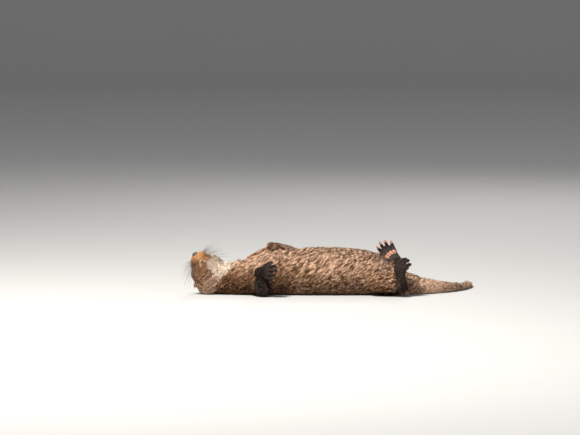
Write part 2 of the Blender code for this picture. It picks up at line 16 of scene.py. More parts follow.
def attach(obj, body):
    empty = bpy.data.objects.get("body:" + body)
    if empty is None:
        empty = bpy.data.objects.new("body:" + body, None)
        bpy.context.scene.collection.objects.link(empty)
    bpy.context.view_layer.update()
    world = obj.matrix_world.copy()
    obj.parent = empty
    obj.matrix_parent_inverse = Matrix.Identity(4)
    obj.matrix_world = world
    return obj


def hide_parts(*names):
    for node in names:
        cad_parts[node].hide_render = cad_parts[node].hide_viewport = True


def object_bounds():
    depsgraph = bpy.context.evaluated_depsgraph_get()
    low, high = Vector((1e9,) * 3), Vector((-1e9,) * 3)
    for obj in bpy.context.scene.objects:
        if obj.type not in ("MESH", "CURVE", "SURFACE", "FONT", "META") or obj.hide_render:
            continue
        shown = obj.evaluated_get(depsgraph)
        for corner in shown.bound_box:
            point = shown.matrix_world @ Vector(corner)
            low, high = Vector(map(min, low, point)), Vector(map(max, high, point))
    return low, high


bl_info = {
    "name": "Sleeping Otter",
    "version": (1, 0, 0),
    "blender": (4, 5, 0),
    "location": "View3D > Sidebar > Otter",
    "description": "Dresses the solids of a sleeping otter with skin, coat, face, feet and a stage",
    "category": "Object",
}

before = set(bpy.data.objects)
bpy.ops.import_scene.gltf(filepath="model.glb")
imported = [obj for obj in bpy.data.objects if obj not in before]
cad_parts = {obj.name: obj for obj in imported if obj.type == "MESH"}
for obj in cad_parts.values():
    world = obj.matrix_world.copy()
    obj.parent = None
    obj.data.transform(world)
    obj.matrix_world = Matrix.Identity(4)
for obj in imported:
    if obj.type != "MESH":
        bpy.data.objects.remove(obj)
CAD_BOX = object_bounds()

# ---------------------------------------------------------------- forms, as in the solids
FLOOR_DIP = 0.007
UNDERSIDE = 0.0012  # height of the skin over the floor where it lies on it
TRUNK = (  # x, height of the belly, half width
    (-0.235, 0.088, 0.052),
    (-0.195, 0.102, 0.063),
    (-0.140, 0.126, 0.071),
    (-0.070, 0.139, 0.077),
    (0.050, 0.148, 0.082),
    (0.160, 0.143, 0.080),
    (0.225, 0.127, 0.074),
    (0.272, 0.092, 0.064),
    (0.315, 0.072, 0.050),
    (0.350, 0.060, 0.036),
)
NECK = (  # middle, radius
    ((-0.170, 0.000, 0.052), 0.058),
    ((-0.222, 0.004, 0.048), 0.055),
    ((-0.262, 0.008, 0.048), 0.054),
    ((-0.292, 0.006, 0.060), 0.050),
)
NOSE_TIP = Vector((-0.3435, -0.026, 0.1290))
HEAD_FORWARD = Vector((-0.56, -0.22, 0.80))
HEAD_CROWN = Vector((-0.15, 1.0, -0.22))
HEAD = (  # distance behind the nose, half width, reach to the crown, reach to the throat
    (0.001, 0.0095, 0.0085, 0.0050),
    (0.006, 0.0175, 0.0135, 0.0110),
    (0.015, 0.0265, 0.0175, 0.0165),
    (0.027, 0.0345, 0.0215, 0.0200),
    (0.040, 0.0412, 0.0265, 0.0235),
    (0.057, 0.0490, 0.0320, 0.0280),
    (0.076, 0.0560, 0.0350, 0.0330),
    (0.095, 0.0600, 0.0355, 0.0375),
    (0.113, 0.0595, 0.0335, 0.0400),
    (0.128, 0.0510, 0.0280, 0.0360),
)
LIP_BACK, LIP_OUT, LIP_DOWN = 0.0175, 0.0150, 0.0060
LIP_SIZE = (0.0150, 0.0135, 0.0115)
CHEEK_BACK, CHEEK_OUT, CHEEK_SIZE = 0.068, 0.0345, (0.034, 0.0205, 0.0210)
CHIN_BACK, CHIN_DEPTH, CHIN_SIZE = 0.0240, 0.0150, (0.0125, 0.0105, 0.0075)
EYE_BACK, EYE_OUT, EYE_UP, EYE_RADIUS = 0.0400, 0.0248, 0.0165, 0.0056
EAR_BACK, EAR_OUT, EAR_UP = 0.0830, 0.0465, 0.0205
EAR_WIDTH, EAR_HEIGHT, EAR_THICKNESS = 0.0260, 0.0200, 0.0080
EAR_SECTIONS = ((-0.35, 0.62), (0.0, 0.86), (0.35, 1.0), (0.68, 0.86), (0.90, 0.52))  # share up, width
EAR_HOLLOW, EAR_SIDES = 0.62, 20
NOSE_BACK, NOSE_UP = 0.0035, 0.0015
NOSE_SIZE = (0.0070, 0.0100, 0.0075)
HEAD_CUT, HEAD_CUT_NORMAL = Vector((-0.263, 0.0, 0.046)), Vector((-0.79, 0.0, 0.61))

TAIL_ROOT = Vector((0.318, 0.0, 0.0))
TAIL_LENGTH = 0.385
TAIL_TURN = (math.radians(14), math.radians(108))
TAIL_THICKNESS = (0.066, 0.044, 0.027, 0.018, 0.011)
TAIL_WIDTH = (0.082, 0.060, 0.043, 0.029, 0.016)
TAIL_STEPS = 20
TAIL_DIP, TAIL_INSET = 0.12, 0.35  # largest share of the thickness under the floor, and of its half in coat

LIMBS = {  # root, elbow or knee, and wrist or ankle, each with its radius
    "fore_right": (
        ((-0.168, -0.045, 0.060), 0.030),
        ((-0.128, -0.090, 0.0215), 0.025),
        ((-0.136, -0.100, 0.078), 0.0165),
    ),
    "fore_left": (
        ((-0.185, 0.040, 0.070), 0.030),
        ((-0.158, 0.070, 0.098), 0.0235),
        ((-0.094, 0.028, 0.1450), 0.0160),
    ),
    "hind_right": (
        ((0.285, -0.034, 0.046), 0.040),
        ((0.222, -0.070, 0.044), 0.030),
        ((0.305, -0.090, 0.031), 0.0185),
    ),
    "hind_left": (
        ((0.285, 0.034, 0.048), 0.040),
        ((0.232, 0.074, 0.052), 0.030),
        ((0.305, 0.076, 0.084), 0.0185),
    ),
}
SEGMENTS = {
    "fore_right": ("upper_arm_right", "forearm_right", "forepaw_right"),
    "fore_left": ("upper_arm_left", "forearm_left", "forepaw_left"),
    "hind_right": ("thigh_right", "shank_right", "hind_foot_right"),
    "hind_left": ("thigh_left", "shank_left", "hind_foot_left"),
}
FLESH = ("head", "neck", "trunk", "tail_base", "tail_tip", "ear_left", "ear_right")
TOES = (-2, -1, 0, 1, 2)
TOE_SHARES, TOE_TAPER = (0.42, 0.32, 0.26), (1.0, 0.92, 0.78)
OUTER_SHORTER, INNER_SHORTER, OUTER_BACK = 0.055, 0.05, 0.0022
TOE_PITCH = ((0.20, 0.55), (-0.10, 0.85), (-0.42, 1.10))  # rise of each bone, and how far a bend lowers it


class Foot:
    """Sizes of a fore or hind foot, in its own frame: x' to the toes, z' out of its back.

    The sole's sections are distance out, half width and half depth.
    """

    def __init__(self, sole, toe_root, toe_step, fan, toe_length, toe_radius, claw_length):
        self.sole = sole
        self.toe_root = toe_root
        self.toe_step = toe_step
        self.fan = fan
        self.toe_length = toe_length
        self.toe_radius = toe_radius
        self.claw_length = claw_length


FORE_FOOT = Foot(
    sole=(
        (-0.022, 0.0130, 0.0120),
        (0.000, 0.0155, 0.0125),
        (0.015, 0.0195, 0.0105),
        (0.031, 0.0220, 0.0090),
        (0.041, 0.0190, 0.0060),
    ),
    toe_root=0.033,
    toe_step=0.0090,
    fan=math.radians(14),
    toe_length=0.037,
    toe_radius=0.0052,
    claw_length=0.0080,
)
HIND_FOOT = Foot(
    sole=(
        (-0.022, 0.0140, 0.0140),
        (0.000, 0.0165, 0.0140),
        (0.020, 0.0185, 0.0110),
        (0.042, 0.0235, 0.0095),
        (0.060, 0.0245, 0.0075),
        (0.068, 0.0200, 0.0050),
    ),
    toe_root=0.058,
    toe_step=0.0102,
    fan=math.radians(9),
    toe_length=0.046,
    toe_radius=0.0058,
    claw_length=0.0080,
)
CLAW_LOFT_STEPS = 4
CLAW_SECTIONS = ((0.0, 0.0017), (0.5, 0.0014), (0.85, 0.0009), (1.0, 0.0004))
WEB_THICKNESS = 0.0024
WEB_REACH, WEB_HOLLOW, WEB_SAG = 0.72, 0.22, 0.0012
WEB_ROWS, WEB_COLUMNS = 10, 8
TOE_PAD, SOLE_PAD = (1.15, 0.95, 0.75), (1.5, 1.0, 0.7)  # half axes, as shares of the toe's radius
# Each foot: its sizes, where its toes and its back face, the toes' bend, and the side of the first toe.
FEET = {
    "fore_right": (FORE_FOOT, (0.58, -0.74, 0.20), (-0.74, -0.60, 0.20), 0.75, 1),
    "fore_left": (FORE_FOOT, (0.98, -0.16, 0.03), (-0.03, 0.10, 0.99), 0.42, -1),
    "hind_right": (HIND_FOOT, (-0.16, -0.05, 0.98), (-0.78, -0.60, -0.10), 1.10, 1),
    "hind_left": (HIND_FOOT, (-0.60, 0.48, 0.52), (0.05, 0.80, -0.60), 0.50, -1),
}

# Depth of the coat over the skin: how far each form is set in from the solids.
TRUNK_DEPTH, NECK_DEPTH, LIMB_DEPTH, TAIL_DEPTH = 0.0060, 0.0055, 0.0040, 0.0045
FACE_DEPTH, SKULL_DEPTH, FOOT_DEPTH, EAR_DEPTH = 0.0010, 0.0045, 0.0008, 0.0010
SKIN_GRID = 0.0013
SKIN_TRIANGLES = 166000
FORM_SMOOTHING, BODY_SMOOTHING = 4, 55
BODY_SIDES, LIMB_SIDES, FOOT_SIDES, TOE_SIDES, PAD_SIDES = 48, 28, 32, 20, 16


# ---------------------------------------------------------------- settings shown in the panel
class OtterCoat(bpy.types.PropertyGroup):
    """Sizes of the coat's tufts"""

    length: FloatProperty(name="Tuft length", description="Length of a tuft on the back and flanks",
                          default=0.0205, unit="LENGTH")
    girth: FloatProperty(name="Tuft half width", description="Half the width of a tuft at its root",
                         default=0.0027, unit="LENGTH")
    spacing: FloatProperty(name="Spacing", description="Mean distance between tufts on the body",
                           default=0.0040, unit="LENGTH")
    lift: FloatProperty(name="Lift", description="How far tufts stand off the skin, as a slope",
                        default=0.24, subtype="FACTOR", min=0, max=1)
    disorder: FloatProperty(name="Disorder", description="Spread of the tufts' directions",
                            default=0.17, subtype="FACTOR", min=0, max=1)
    seed: IntProperty(name="Seed", description="Seed of every random choice in the coat", default=7)


class OtterColours(bpy.types.PropertyGroup):
    """Colours of the coat, the bare skin and the horn"""

    brown: FloatVectorProperty(name="Brown", description="Main colour of the coat",
                               default=(0.315, 0.150, 0.062), size=3, subtype="COLOR")
    # Deep brown is the darkest fur, and also the painted shade that the low mask lays on the lower flanks,
    # the neck's side, the chest and the near side of the face.
    shade: FloatVectorProperty(name="Deep brown", description="Darkest fur, low on the flanks and neck",
                               default=(0.112, 0.044, 0.015), size=3, subtype="COLOR")
    fair: FloatVectorProperty(name="Belly", description="Paler fur of the belly",
                              default=(0.550, 0.370, 0.255), size=3, subtype="COLOR")
    cream: FloatVectorProperty(name="Throat", description="Cream fur of the throat and cheeks",
                               default=(0.740, 0.615, 0.490), size=3, subtype="COLOR")
    # Warm pale fur; on the tail's root it is also painted light.
    glow: FloatVectorProperty(name="Warm pale fur", description="Fur of the tail's root, jowls and chin",
                              default=(0.950, 0.640, 0.430), size=3, subtype="COLOR")
    lip: FloatVectorProperty(name="Lips", description="Warm fur of the whisker pads",
                             default=(0.500, 0.250, 0.100), size=3, subtype="COLOR")
    foot: FloatVectorProperty(name="Feet", description="Dark fur of the feet",
                              default=(0.020, 0.011, 0.007), size=3, subtype="COLOR")
    pad: FloatVectorProperty(name="Pads", description="Bare skin of the pads under the toes",
                             default=(0.520, 0.240, 0.165), size=3, subtype="COLOR")
    nose: FloatVectorProperty(name="Nose", description="Moist skin of the nose pad",
                              default=(0.026, 0.018, 0.017), size=3, subtype="COLOR")
    claw: FloatVectorProperty(name="Claws", description="Pale horn at the tips of the claws",
                              default=(0.500, 0.370, 0.280), size=3, subtype="COLOR")
    iris: FloatVectorProperty(name="Iris", description="Brown of the eyes",
                              default=(0.035, 0.016, 0.008), size=3, subtype="COLOR")
    whisker: FloatVectorProperty(name="Whiskers", description="Stiff brown whiskers",
                                 default=(0.150, 0.110, 0.080), size=3, subtype="COLOR")


class OtterStage(bpy.types.PropertyGroup):
    """The floor, and where the camera stands"""

    floor: FloatVectorProperty(name="Floor", description="Colour of the floor and backdrop",
                               default=(0.37, 0.367, 0.360), size=3, subtype="COLOR")
    radius: FloatProperty(name="Radius", description="Radius of the floor before it rises",
                          default=13.0, unit="LENGTH")
    frame_width: FloatProperty(name="View width", description="Width that the camera sees at the animal",
                               default=1.818, unit="LENGTH")
    distance: FloatProperty(name="Camera distance", description="From the animal to the camera",
                            default=11.5, unit="LENGTH")
    elevation: FloatProperty(name="Camera elevation", description="Height of the view over the horizon",
                             default=math.radians(5.0), subtype="ANGLE")


# ---------------------------------------------------------------- mesh tools
def new_object(name, mesh):
    """An object in the scene that holds a mesh, a light or a camera."""
    obj = bpy.data.objects.new(name, mesh)
    bpy.context.scene.collection.objects.link(obj)
    return obj


def finished(obj, material, slot, *nodes):
    """A piece of the animal: its material, body, and the solids it stands for. The slot is not used."""
    obj.data.materials.clear()
    obj.data.materials.append(material)
    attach(obj, "root")
    if nodes:
        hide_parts(*nodes)
    return obj


def mesh_from(bm, name, turned=False):
    """A mesh with what bm holds, its faces turned outwards first where turned is set."""
    if turned:
        bmesh.ops.recalc_face_normals(bm, faces=bm.faces)
    mesh = bpy.data.meshes.new(name)
    bm.to_mesh(mesh)
    bm.free()
    return mesh


def wall(bm, rings, closed=False):
    """Faces between neighbouring rings of vertices, and over both ends where closed is set."""
    count = len(rings[0])
    for first, second in zip(rings, rings[1:]):
        for i in range(count):
            j = (i + 1) % count
            bm.faces.new((first[i], first[j], second[j], second[i]))
    if closed:
        bm.faces.new(rings[0])
        bm.faces.new(rings[-1])


def ring_of(bm, points, along, share):
    """Vertices at points that all keep the same share along their piece."""
    ring = [bm.verts.new(point) for point in points]
    for vertex in ring:
        vertex[along] = share
    return ring


def loft(rings):
    """A closed tube through rings of points, with a point in the middle of each end."""
    bm = bmesh.new()
    loops = [[bm.verts.new(point) for point in points] for points in rings]
    wall(bm, loops)
    for loop in (loops[0], loops[-1]):
        tip = bm.verts.new(sum((v.co for v in loop), Vector()) / len(loop))
        for first, second in zip(loop, loop[1:] + loop[:1]):
            bm.faces.new((first, second, tip))
    return mesh_from(bm, "loft", turned=True)


def oval(centre, across, upward, half_width, above, below, sides):
    """A cross-section whose upper half reaches above, and its lower half below."""
    points = []
    for i in range(sides):
        turn = 2 * math.pi * i / sides
        rise = math.sin(turn)
        reach = above if rise > 0 else below
        points.append(centre + across * half_width * math.cos(turn) + upward * reach * rise)
    return points


def between(rows, steps):
    """Rows of numbers made finer, on a Catmull-Rom curve through them."""
    fine = []
    for i in range(len(rows) - 1):
        before = rows[max(i - 1, 0)]
        after = rows[min(i + 2, len(rows) - 1)]
        for k in range(steps):
            t = k / steps
            row = []
            for p0, p1, p2, p3 in zip(before, rows[i], rows[i + 1], after):
                curve = 2 * p1 + (p2 - p0) * t + (2 * p0 - 5 * p1 + 4 * p2 - p3) * t * t
                row.append(0.5 * (curve + (3 * p1 - p0 - 3 * p2 + p3) * t**3))
            fine.append(tuple(row))
    fine.append(tuple(rows[-1]))
    return fine


def tube(chain, sides, steps=6, upward=Vector((0, 0, 1))):
    """A loft along joints (position, radius) with rounded ends."""
    rows = between([(*joint, radius) for joint, radius in chain], steps)
    points = [Vector(row[:3]) for row in rows]
    rings = []
    last = len(points) - 1
    domes = {0: (-0.92, -0.6, 0), last: (0, 0.6, 0.92)}
    for i, (point, (_, _, _, radius)) in enumerate(zip(points, rows)):
        along = (points[min(i + 1, last)] - points[max(i - 1, 0)]).normalized()
        across = along.cross(upward).normalized()
        rise = across.cross(along)
        for share in domes.get(i, (0,)):
            size = radius * math.sqrt(1 - share * share)
            middle = point + along * radius * share
            rings.append(oval(middle, across, rise, size, size, size, sides))
    return loft(rings)


def ball(place, centre, size, segments=24):
    """An ellipsoid with half axes size, along the axes of a frame."""
    bm = bmesh.new()
    matrix = place @ Matrix.Translation(centre) @ Matrix.Diagonal((*size, 1))
    bmesh.ops.create_uvsphere(bm, u_segments=segments, v_segments=segments // 2, radius=1, matrix=matrix)
    return mesh_from(bm, "ball")


def joined(meshes):
    """One mesh that holds all of these."""
    bm = bmesh.new()
    for mesh in meshes:
        bm.from_mesh(mesh)
    return mesh_from(bm, "joined")


def coarser():
    """How many times as coarse this build is as the full one."""
    return 1


def evaluated(mesh, add_modifiers):
    """The mesh after the modifiers that add_modifiers puts on an object that holds it."""
    helper = new_object("helper", mesh)
    add_modifiers(helper)
    graph = bpy.context.evaluated_depsgraph_get()
    made = bpy.data.meshes.new_from_object(helper.evaluated_get(graph))
    bpy.data.objects.remove(helper)
    return made


def frame_of(origin, forward, back):
    """A frame with x' along forward, and z' as near to back as it can be."""
    x = Vector(forward).normalized()
    z = Vector(back)
    z = (z - x * x.dot(z)).normalized()
    y = z.cross(x)
    turn = Matrix((x, y, z)).transposed().to_4x4()
    return Matrix.Translation(origin) @ turn


# ---------------------------------------------------------------- number tools
def points_of(mesh):
    """Places and normals of a mesh's vertices, as arrays."""
    places = np.empty(len(mesh.vertices) * 3)
    mesh.vertices.foreach_get("co", places)
    normals = np.empty(len(mesh.vertices) * 3)
    mesh.vertices.foreach_get("normal", normals)
    return places.reshape(-1, 3), normals.reshape(-1, 3)


def put_points(mesh, places):
    """Moves a mesh's vertices to these places."""
    mesh.vertices.foreach_set("co", places.ravel())
    mesh.update()


def store(mesh, name, values):
    """Keeps a number or a vector for each vertex under a name."""
    kind, key = ("FLOAT", "value") if values.ndim == 1 else ("FLOAT_VECTOR", "vector")
    layer = mesh.attributes.new(name, kind, "POINT")
    layer.data.foreach_set(key, values.astype(np.float32).ravel())


def ramp(values, low, high):
    """0 below low, 1 above high, and a smooth rise between. High may be below low."""
    t = np.clip((values - low) / (high - low), 0, 1)
    return t * t * (3 - 2 * t)


def bump(values, width):
    """1 where values are 0, and a bell-shaped fall to both sides."""
    return np.exp(-((values / width) ** 2))


def in_frame(place, points):
    """Points in the coordinates of a frame."""
    back = np.array(place.inverted())
    return points @ back[:3, :3].T + back[:3, 3]


def flattened(vectors, normals):
    """Vectors less what they have along the normals."""
    return vectors - (vectors * normals).sum(1)[:, None] * normals


def away_from(points, place):
    """Distance of points from a place."""
    return np.linalg.norm(points - np.array(place), axis=1)


def capsule(points, a, b, radius_a, radius_b):
    """Distance of points from the surface of a bar with round ends, and the share along it."""
    a, b = np.array(a), np.array(b)
    run = b - a
    share = np.clip((points - a) @ run / (run @ run), 0, 1)
    reach = np.linalg.norm(points - a - share[:, None] * run, axis=1)
    return reach - (radius_a + (radius_b - radius_a) * share), share


def relaxed(mesh, places, rounds, weight):
    """Places drawn towards the mean of their neighbours, by a weight for each vertex."""
    ends = np.empty(len(mesh.edges) * 2, dtype=np.int32)
    mesh.edges.foreach_get("vertices", ends)
    first, second = ends.reshape(-1, 2).T
    source, target = np.concatenate((second, first)), np.concatenate((first, second))
    count = np.bincount(target, minlength=len(places))[:, None]
    for _ in range(rounds):
        sums = [np.bincount(target, places[source, i], len(places)) for i in range(3)]
        places = places + weight[:, None] * (np.stack(sums, 1) / count - places)
    return places


# ---------------------------------------------------------------- forms of the body
def trunk_loft(depth):
    """The trunk set in by a depth, flat along the floor."""
    rings = []
    for x, top, half_width in between(TRUNK, 5):
        reach = (top + FLOOR_DIP) / 2 - depth
        centre = Vector((x, 0, (top - FLOOR_DIP) / 2))
        half_width -= depth
        rings.append(oval(centre, Vector((0, 1, 0)), Vector((0, 0, 1)), half_width, reach, reach, BODY_SIDES))
    return loft(rings)


def tail_path():
    """Points along the tail on the floor, with the heading at each."""
    start, end = TAIL_TURN
    point = TAIL_ROOT.copy()
    path = []
    for i in range(TAIL_STEPS + 1):
        share = i / TAIL_STEPS
        heading = start + (end - start) * share**1.2
        along = Vector((math.cos(heading), math.sin(heading), 0))
        path.append((point.copy(), along))
        point += along * TAIL_LENGTH / TAIL_STEPS
    return path


def tail_sections():
    """Centre, heading, half width and half thickness at each step along the tail."""
    sizes = between(list(zip(TAIL_THICKNESS, TAIL_WIDTH)), TAIL_STEPS // (len(TAIL_WIDTH) - 1))
    sections = []
    for (point, along), (thickness, width) in zip(tail_path(), sizes):
        dip = min(FLOOR_DIP, thickness * TAIL_DIP)
        centre = point + Vector((0, 0, thickness / 2 - dip))
        sections.append((centre, along, width / 2, thickness / 2))
    return sections


def tail_loft(depth):
    """The tail set in by a depth, less where it is thin."""
    rings = []
    for centre, along, half_width, half_thick in tail_sections():
        across = Vector((-along.y, along.x, 0))
        inset = min(depth, half_thick * TAIL_INSET)
        reach = half_thick - inset
        half_width -= inset
        rings.append(oval(centre, across, Vector((0, 0, 1)), half_width, reach, reach, LIMB_SIDES))
    return loft(rings)


def head_frame():
    """Origin at the nose tip, so a place on the head is (-distance behind it, left, up)."""
    return frame_of(NOSE_TIP, HEAD_FORWARD, HEAD_CROWN)


def head_forms(place):
    """Skull, whisker pads, cheeks, chin and ears, less the depth of the coat."""
    turn = place.to_3x3()
    across, upward = turn @ Vector((0, 1, 0)), turn @ Vector((0, 0, 1))
    rings = []
    for back, half_width, above, below in between(HEAD, 5):
        depth = FACE_DEPTH + (SKULL_DEPTH - FACE_DEPTH) * min(back / 0.09, 1)
        centre = place @ Vector((-back, 0, 0))
        half_width, above, below = half_width - depth, above - depth, below - depth
        rings.append(oval(centre, across, upward, half_width, above, below, BODY_SIDES))
    forms = [loft(rings)]
    less = Vector((FACE_DEPTH,) * 3)
    forms.append(ball(place, Vector((-CHIN_BACK, 0, -CHIN_DEPTH)), Vector(CHIN_SIZE) - less))
    for side in (-1, 1):
        forms.append(ball(place, Vector((-LIP_BACK, side * LIP_OUT, -LIP_DOWN)), Vector(LIP_SIZE) - less))
        cheek = Vector(CHEEK_SIZE) - less * 3
        forms.append(ball(place, Vector((-CHEEK_BACK, side * CHEEK_OUT, 0)), cheek))
        forms.append(ear_form(place, side))
    return forms


def ear_form(place, side):
    """A small round ear: a thick leaf, hollowed on the side that faces forwards and out."""
    root = place @ Vector((-EAR_BACK, side * EAR_OUT, EAR_UP))
    turn = place.to_3x3()
    upward = turn @ Vector((-0.35, side * 0.72, 0.60))
    leaf = frame_of(root, upward, turn @ Vector((0.80, side * 0.55, -0.10)))
    rings = []
    for share, width in between(EAR_SECTIONS, 3):
        hollow = EAR_THICKNESS * EAR_HOLLOW * math.sin(math.pi * min(max(share, 0), 1))
        half = EAR_THICKNESS / 2 * (1 - 0.4 * max(share, 0)) - EAR_DEPTH
        ring = []
        for i in range(EAR_SIDES):
            angle = 2 * math.pi * i / EAR_SIDES
            y, z = math.cos(angle), math.sin(angle)
            dish = hollow * (1 - y * y) if z > 0 else hollow * 0.5 * (1 - y * y)
            across = y * (width * EAR_WIDTH / 2 - EAR_DEPTH)
            ring.append(leaf @ Vector((share * (EAR_HEIGHT - EAR_DEPTH), across, z * half - dish)))
        rings.append(ring)
    return loft(rings)


# ---------------------------------------------------------------- forms of the feet
def toe_joints(foot, toe, bend, first_side):
    """Positions and radii along a toe, in the foot's frame."""
    share = 1 - OUTER_SHORTER * toe * toe - (INNER_SHORTER if toe * first_side == 2 else 0)
    length = foot.toe_length * share
    side = toe * foot.fan
    point = Vector((foot.toe_root - OUTER_BACK * toe * toe, toe * foot.toe_step, 0))
    joints = [(point, foot.toe_radius)]
    for (rise, give), share, radius in zip(TOE_PITCH, TOE_SHARES, TOE_TAPER):
        pitch = rise - bend * give
        level = math.cos(pitch)
        step = Vector((level * math.cos(side), level * math.sin(side), math.sin(pitch)))
        point = point + step * length * share
        joints.append((point, foot.toe_radius * radius))
    return joints


def foot_frame(name):
    """Origin at the wrist or ankle, x' to the toes, z' out of the foot's back."""
    _, forward, back, _, _ = FEET[name]
    return frame_of(Vector(LIMBS[name][-1][0]), forward, back)


def foot_toes(name):
    """Joints of each of a foot's toes."""
    foot, _, _, bend, first_side = FEET[name]
    return [toe_joints(foot, toe, bend, first_side) for toe in TOES]


def web_form(place, first, second):
    """A sheet of skin between two neighbouring toes, with a hollow free edge."""
    rows, columns = WEB_ROWS, WEB_COLUMNS
    fine = [between([tuple(p) for p, _ in joints], 8) for joints in (first, second)]
    last = len(fine[0]) - 1
    grid = []
    for r in range(rows + 1):
        row = []
        for c in range(columns + 1):
            across = c / columns
            reach = WEB_REACH * r / rows * (1 - WEB_HOLLOW * math.sin(math.pi * across)) * last
            low = int(reach)
            ends = [Vector(line[low]).lerp(Vector(line[min(low + 1, last)]), reach - low) for line in fine]
            sag = Vector((0, 0, -WEB_SAG * math.sin(math.pi * across) * r / rows))
            row.append(ends[0].lerp(ends[1], across) + sag)
        grid.append(row)
    half = Vector((0, 0, WEB_THICKNESS / 2))
    bm = bmesh.new()
    top = [[bm.verts.new(place @ (p + half)) for p in row] for row in grid]
    under = [[bm.verts.new(place @ (p - half)) for p in row] for row in grid]
    for r in range(rows):
        for c in range(columns):
            bm.faces.new((top[r][c], top[r][c + 1], top[r + 1][c + 1], top[r + 1][c]))
            bm.faces.new((under[r][c], under[r + 1][c], under[r + 1][c + 1], under[r][c + 1]))
    rim = [(0, c) for c in range(columns)] + [(r, columns) for r in range(rows)]
    rim += [(rows, c) for c in range(columns, 0, -1)] + [(r, 0) for r in range(rows, 0, -1)]
    for (r1, c1), (r2, c2) in zip(rim, rim[1:] + rim[:1]):
        bm.faces.new((top[r1][c1], under[r1][c1], under[r2][c2], top[r2][c2]))
    return mesh_from(bm, "web", turned=True)


def pad_places(name):
    """Centres and half axes of the bare pads, in the foot's frame."""
    foot = FEET[name][0]
    pads = []
    for joints in foot_toes(name):
        tip, radius = joints[-1]
        along = (tip - joints[-2][0]).normalized()
        under = Vector((along.z, 0, -along.x)) * radius * 0.45
        size = [radius * share for share in TOE_PAD]
        pads.append((tip - along * radius * 0.4 + under, size))
    for toe in (-1.5, -0.5, 0.5, 1.5):
        out = foot.toe_root - 0.006 - 0.003 * abs(toe)
        size = [foot.toe_radius * share for share in SOLE_PAD]
        pads.append((Vector((out, toe * foot.toe_step, -foot.sole[-2][2])), size))
    return pads


def foot_forms(name):
    """Sole, toes, webs and pads of one foot."""
    foot = FEET[name][0]
    place = foot_frame(name)
    turn = place.to_3x3()
    across, upward = turn @ Vector((0, 1, 0)), turn @ Vector((0, 0, 1))
    rings = []
    for out, half_width, half_depth in between(foot.sole, 4):
        depth = half_depth - FOOT_DEPTH
        centre = place @ Vector((out, 0, 0))
        rings.append(oval(centre, across, upward, half_width - FOOT_DEPTH, depth, depth, FOOT_SIDES))
    toes = foot_toes(name)
    forms = [loft(rings)]
    for joints in toes:
        chain = [(place @ point, radius - FOOT_DEPTH / 2) for point, radius in joints]
        forms.append(tube(chain, TOE_SIDES, 5, upward=upward))
    for first, second in zip(toes, toes[1:]):
        forms.append(web_form(place, first, second))
    for centre, size in pad_places(name):
        forms.append(ball(place, centre, size, PAD_SIDES))
    return forms


# ---------------------------------------------------------------- places on the body
def bones():
    """Bars inside the body: group, ends from the nose outwards, radii, and hold on the lie."""
    bars = []
    rows = between(TRUNK, 2)
    for (x1, top1, half1), (x2, top2, half2) in zip(rows, rows[1:]):
        ends = ((x1, 0, top1 / 2), (x2, 0, top2 / 2))
        bars.append(("trunk", *ends, (half1 + top1 / 2) / 2, (half2 + top2 / 2) / 2, 1))
    for (a, radius_a), (b, radius_b) in zip(NECK, NECK[1:]):
        bars.append(("neck", b, a, radius_b, radius_a, 1))
    place = head_frame()
    for (back1, wide1, up1, down1), (back2, wide2, up2, down2) in zip(HEAD[::2], HEAD[2::2]):
        ends = (place @ Vector((-back1, 0, 0)), place @ Vector((-back2, 0, 0)))
        bars.append(("head", *ends, (wide1 + up1 + down1) / 3, (wide2 + up2 + down2) / 3, 1))
    sections = tail_sections()[::2]
    for (a, _, wide1, thick1), (b, _, wide2, thick2) in zip(sections, sections[1:]):
        bars.append(("tail", a, b, (wide1 + thick1) / 2, (wide2 + thick2) / 2, 1))
    for name, chain in LIMBS.items():
        hold = 0.08
        for (a, radius_a), (b, radius_b) in zip(chain, chain[1:]):
            bars.append((name, a, b, radius_a, radius_b, hold))
            hold = 1
        place = foot_frame(name)
        foot = FEET[name][0]
        for (out1, _, deep1), (out2, _, deep2) in zip(foot.sole[1:], foot.sole[2:]):
            for side in (-0.5, 0.5):
                ends = [place @ Vector((out, side * foot.sole[2][1], 0)) for out in (out1, out2)]
                bars.append((f"foot_{name}", *ends, deep1, deep2, 1))
        for joints in foot_toes(name):
            for (a, radius_a), (b, radius_b) in zip(joints, joints[1:]):
                bars.append((f"foot_{name}", place @ a, place @ b, radius_a, radius_b, 1))
    return bars


def part_map(points):
    """For each point: distance to each group of bars, and the run of the bars near it."""
    distances, lie = {}, np.zeros_like(points)
    for group, a, b, radius_a, radius_b, hold in bones():
        reach, _ = capsule(points, a, b, radius_a, radius_b)
        run = np.array(Vector(b) - Vector(a))
        weight = hold / (np.abs(reach) + 0.004) ** 4
        lie += weight[:, None] * run / np.linalg.norm(run)
        distances[group] = np.minimum(distances.get(group, 1.0), reach)
    return distances, lie / np.linalg.norm(lie, axis=1)[:, None]


def place_on_head(points):
    """For each point: distance behind the nose, to the left, and towards the crown."""
    local = in_frame(head_frame(), points)
    return -local[:, 0], local[:, 1], local[:, 2]


def facing_chin(normals):
    """How far the skin faces the chin's side, from -1 to 1."""
    return -(normals @ np.array(head_frame().to_3x3() @ Vector((0, 0, 1))))


def ear_distance(points):
    """How far a place is from the middle of the nearer ear."""
    place = head_frame()
    middles = [Vector((-EAR_BACK, side * (EAR_OUT + 0.004), EAR_UP + 0.006)) for side in (-1, 1)]
    return np.minimum(*(away_from(points, place @ middle) for middle in middles))


def nose_distance(points):
    """How far a place on the face is from the middle of the nose pad."""
    return away_from(in_frame(head_frame(), points), (-NOSE_BACK, 0, NOSE_UP))


def eye_frame(side):
    """An eye's own frame: x' out of the head, y' along the slit of the lids, z' to the crown."""
    place = head_frame()
    turn = place.to_3x3()
    centre = place @ Vector((-EYE_BACK, side * EYE_OUT, EYE_UP))
    outward, crownward = Vector((0.25, side * 0.72, 0.62)), Vector((0.0, -side * 0.60, 0.80))
    return frame_of(centre, turn @ outward, turn @ crownward)


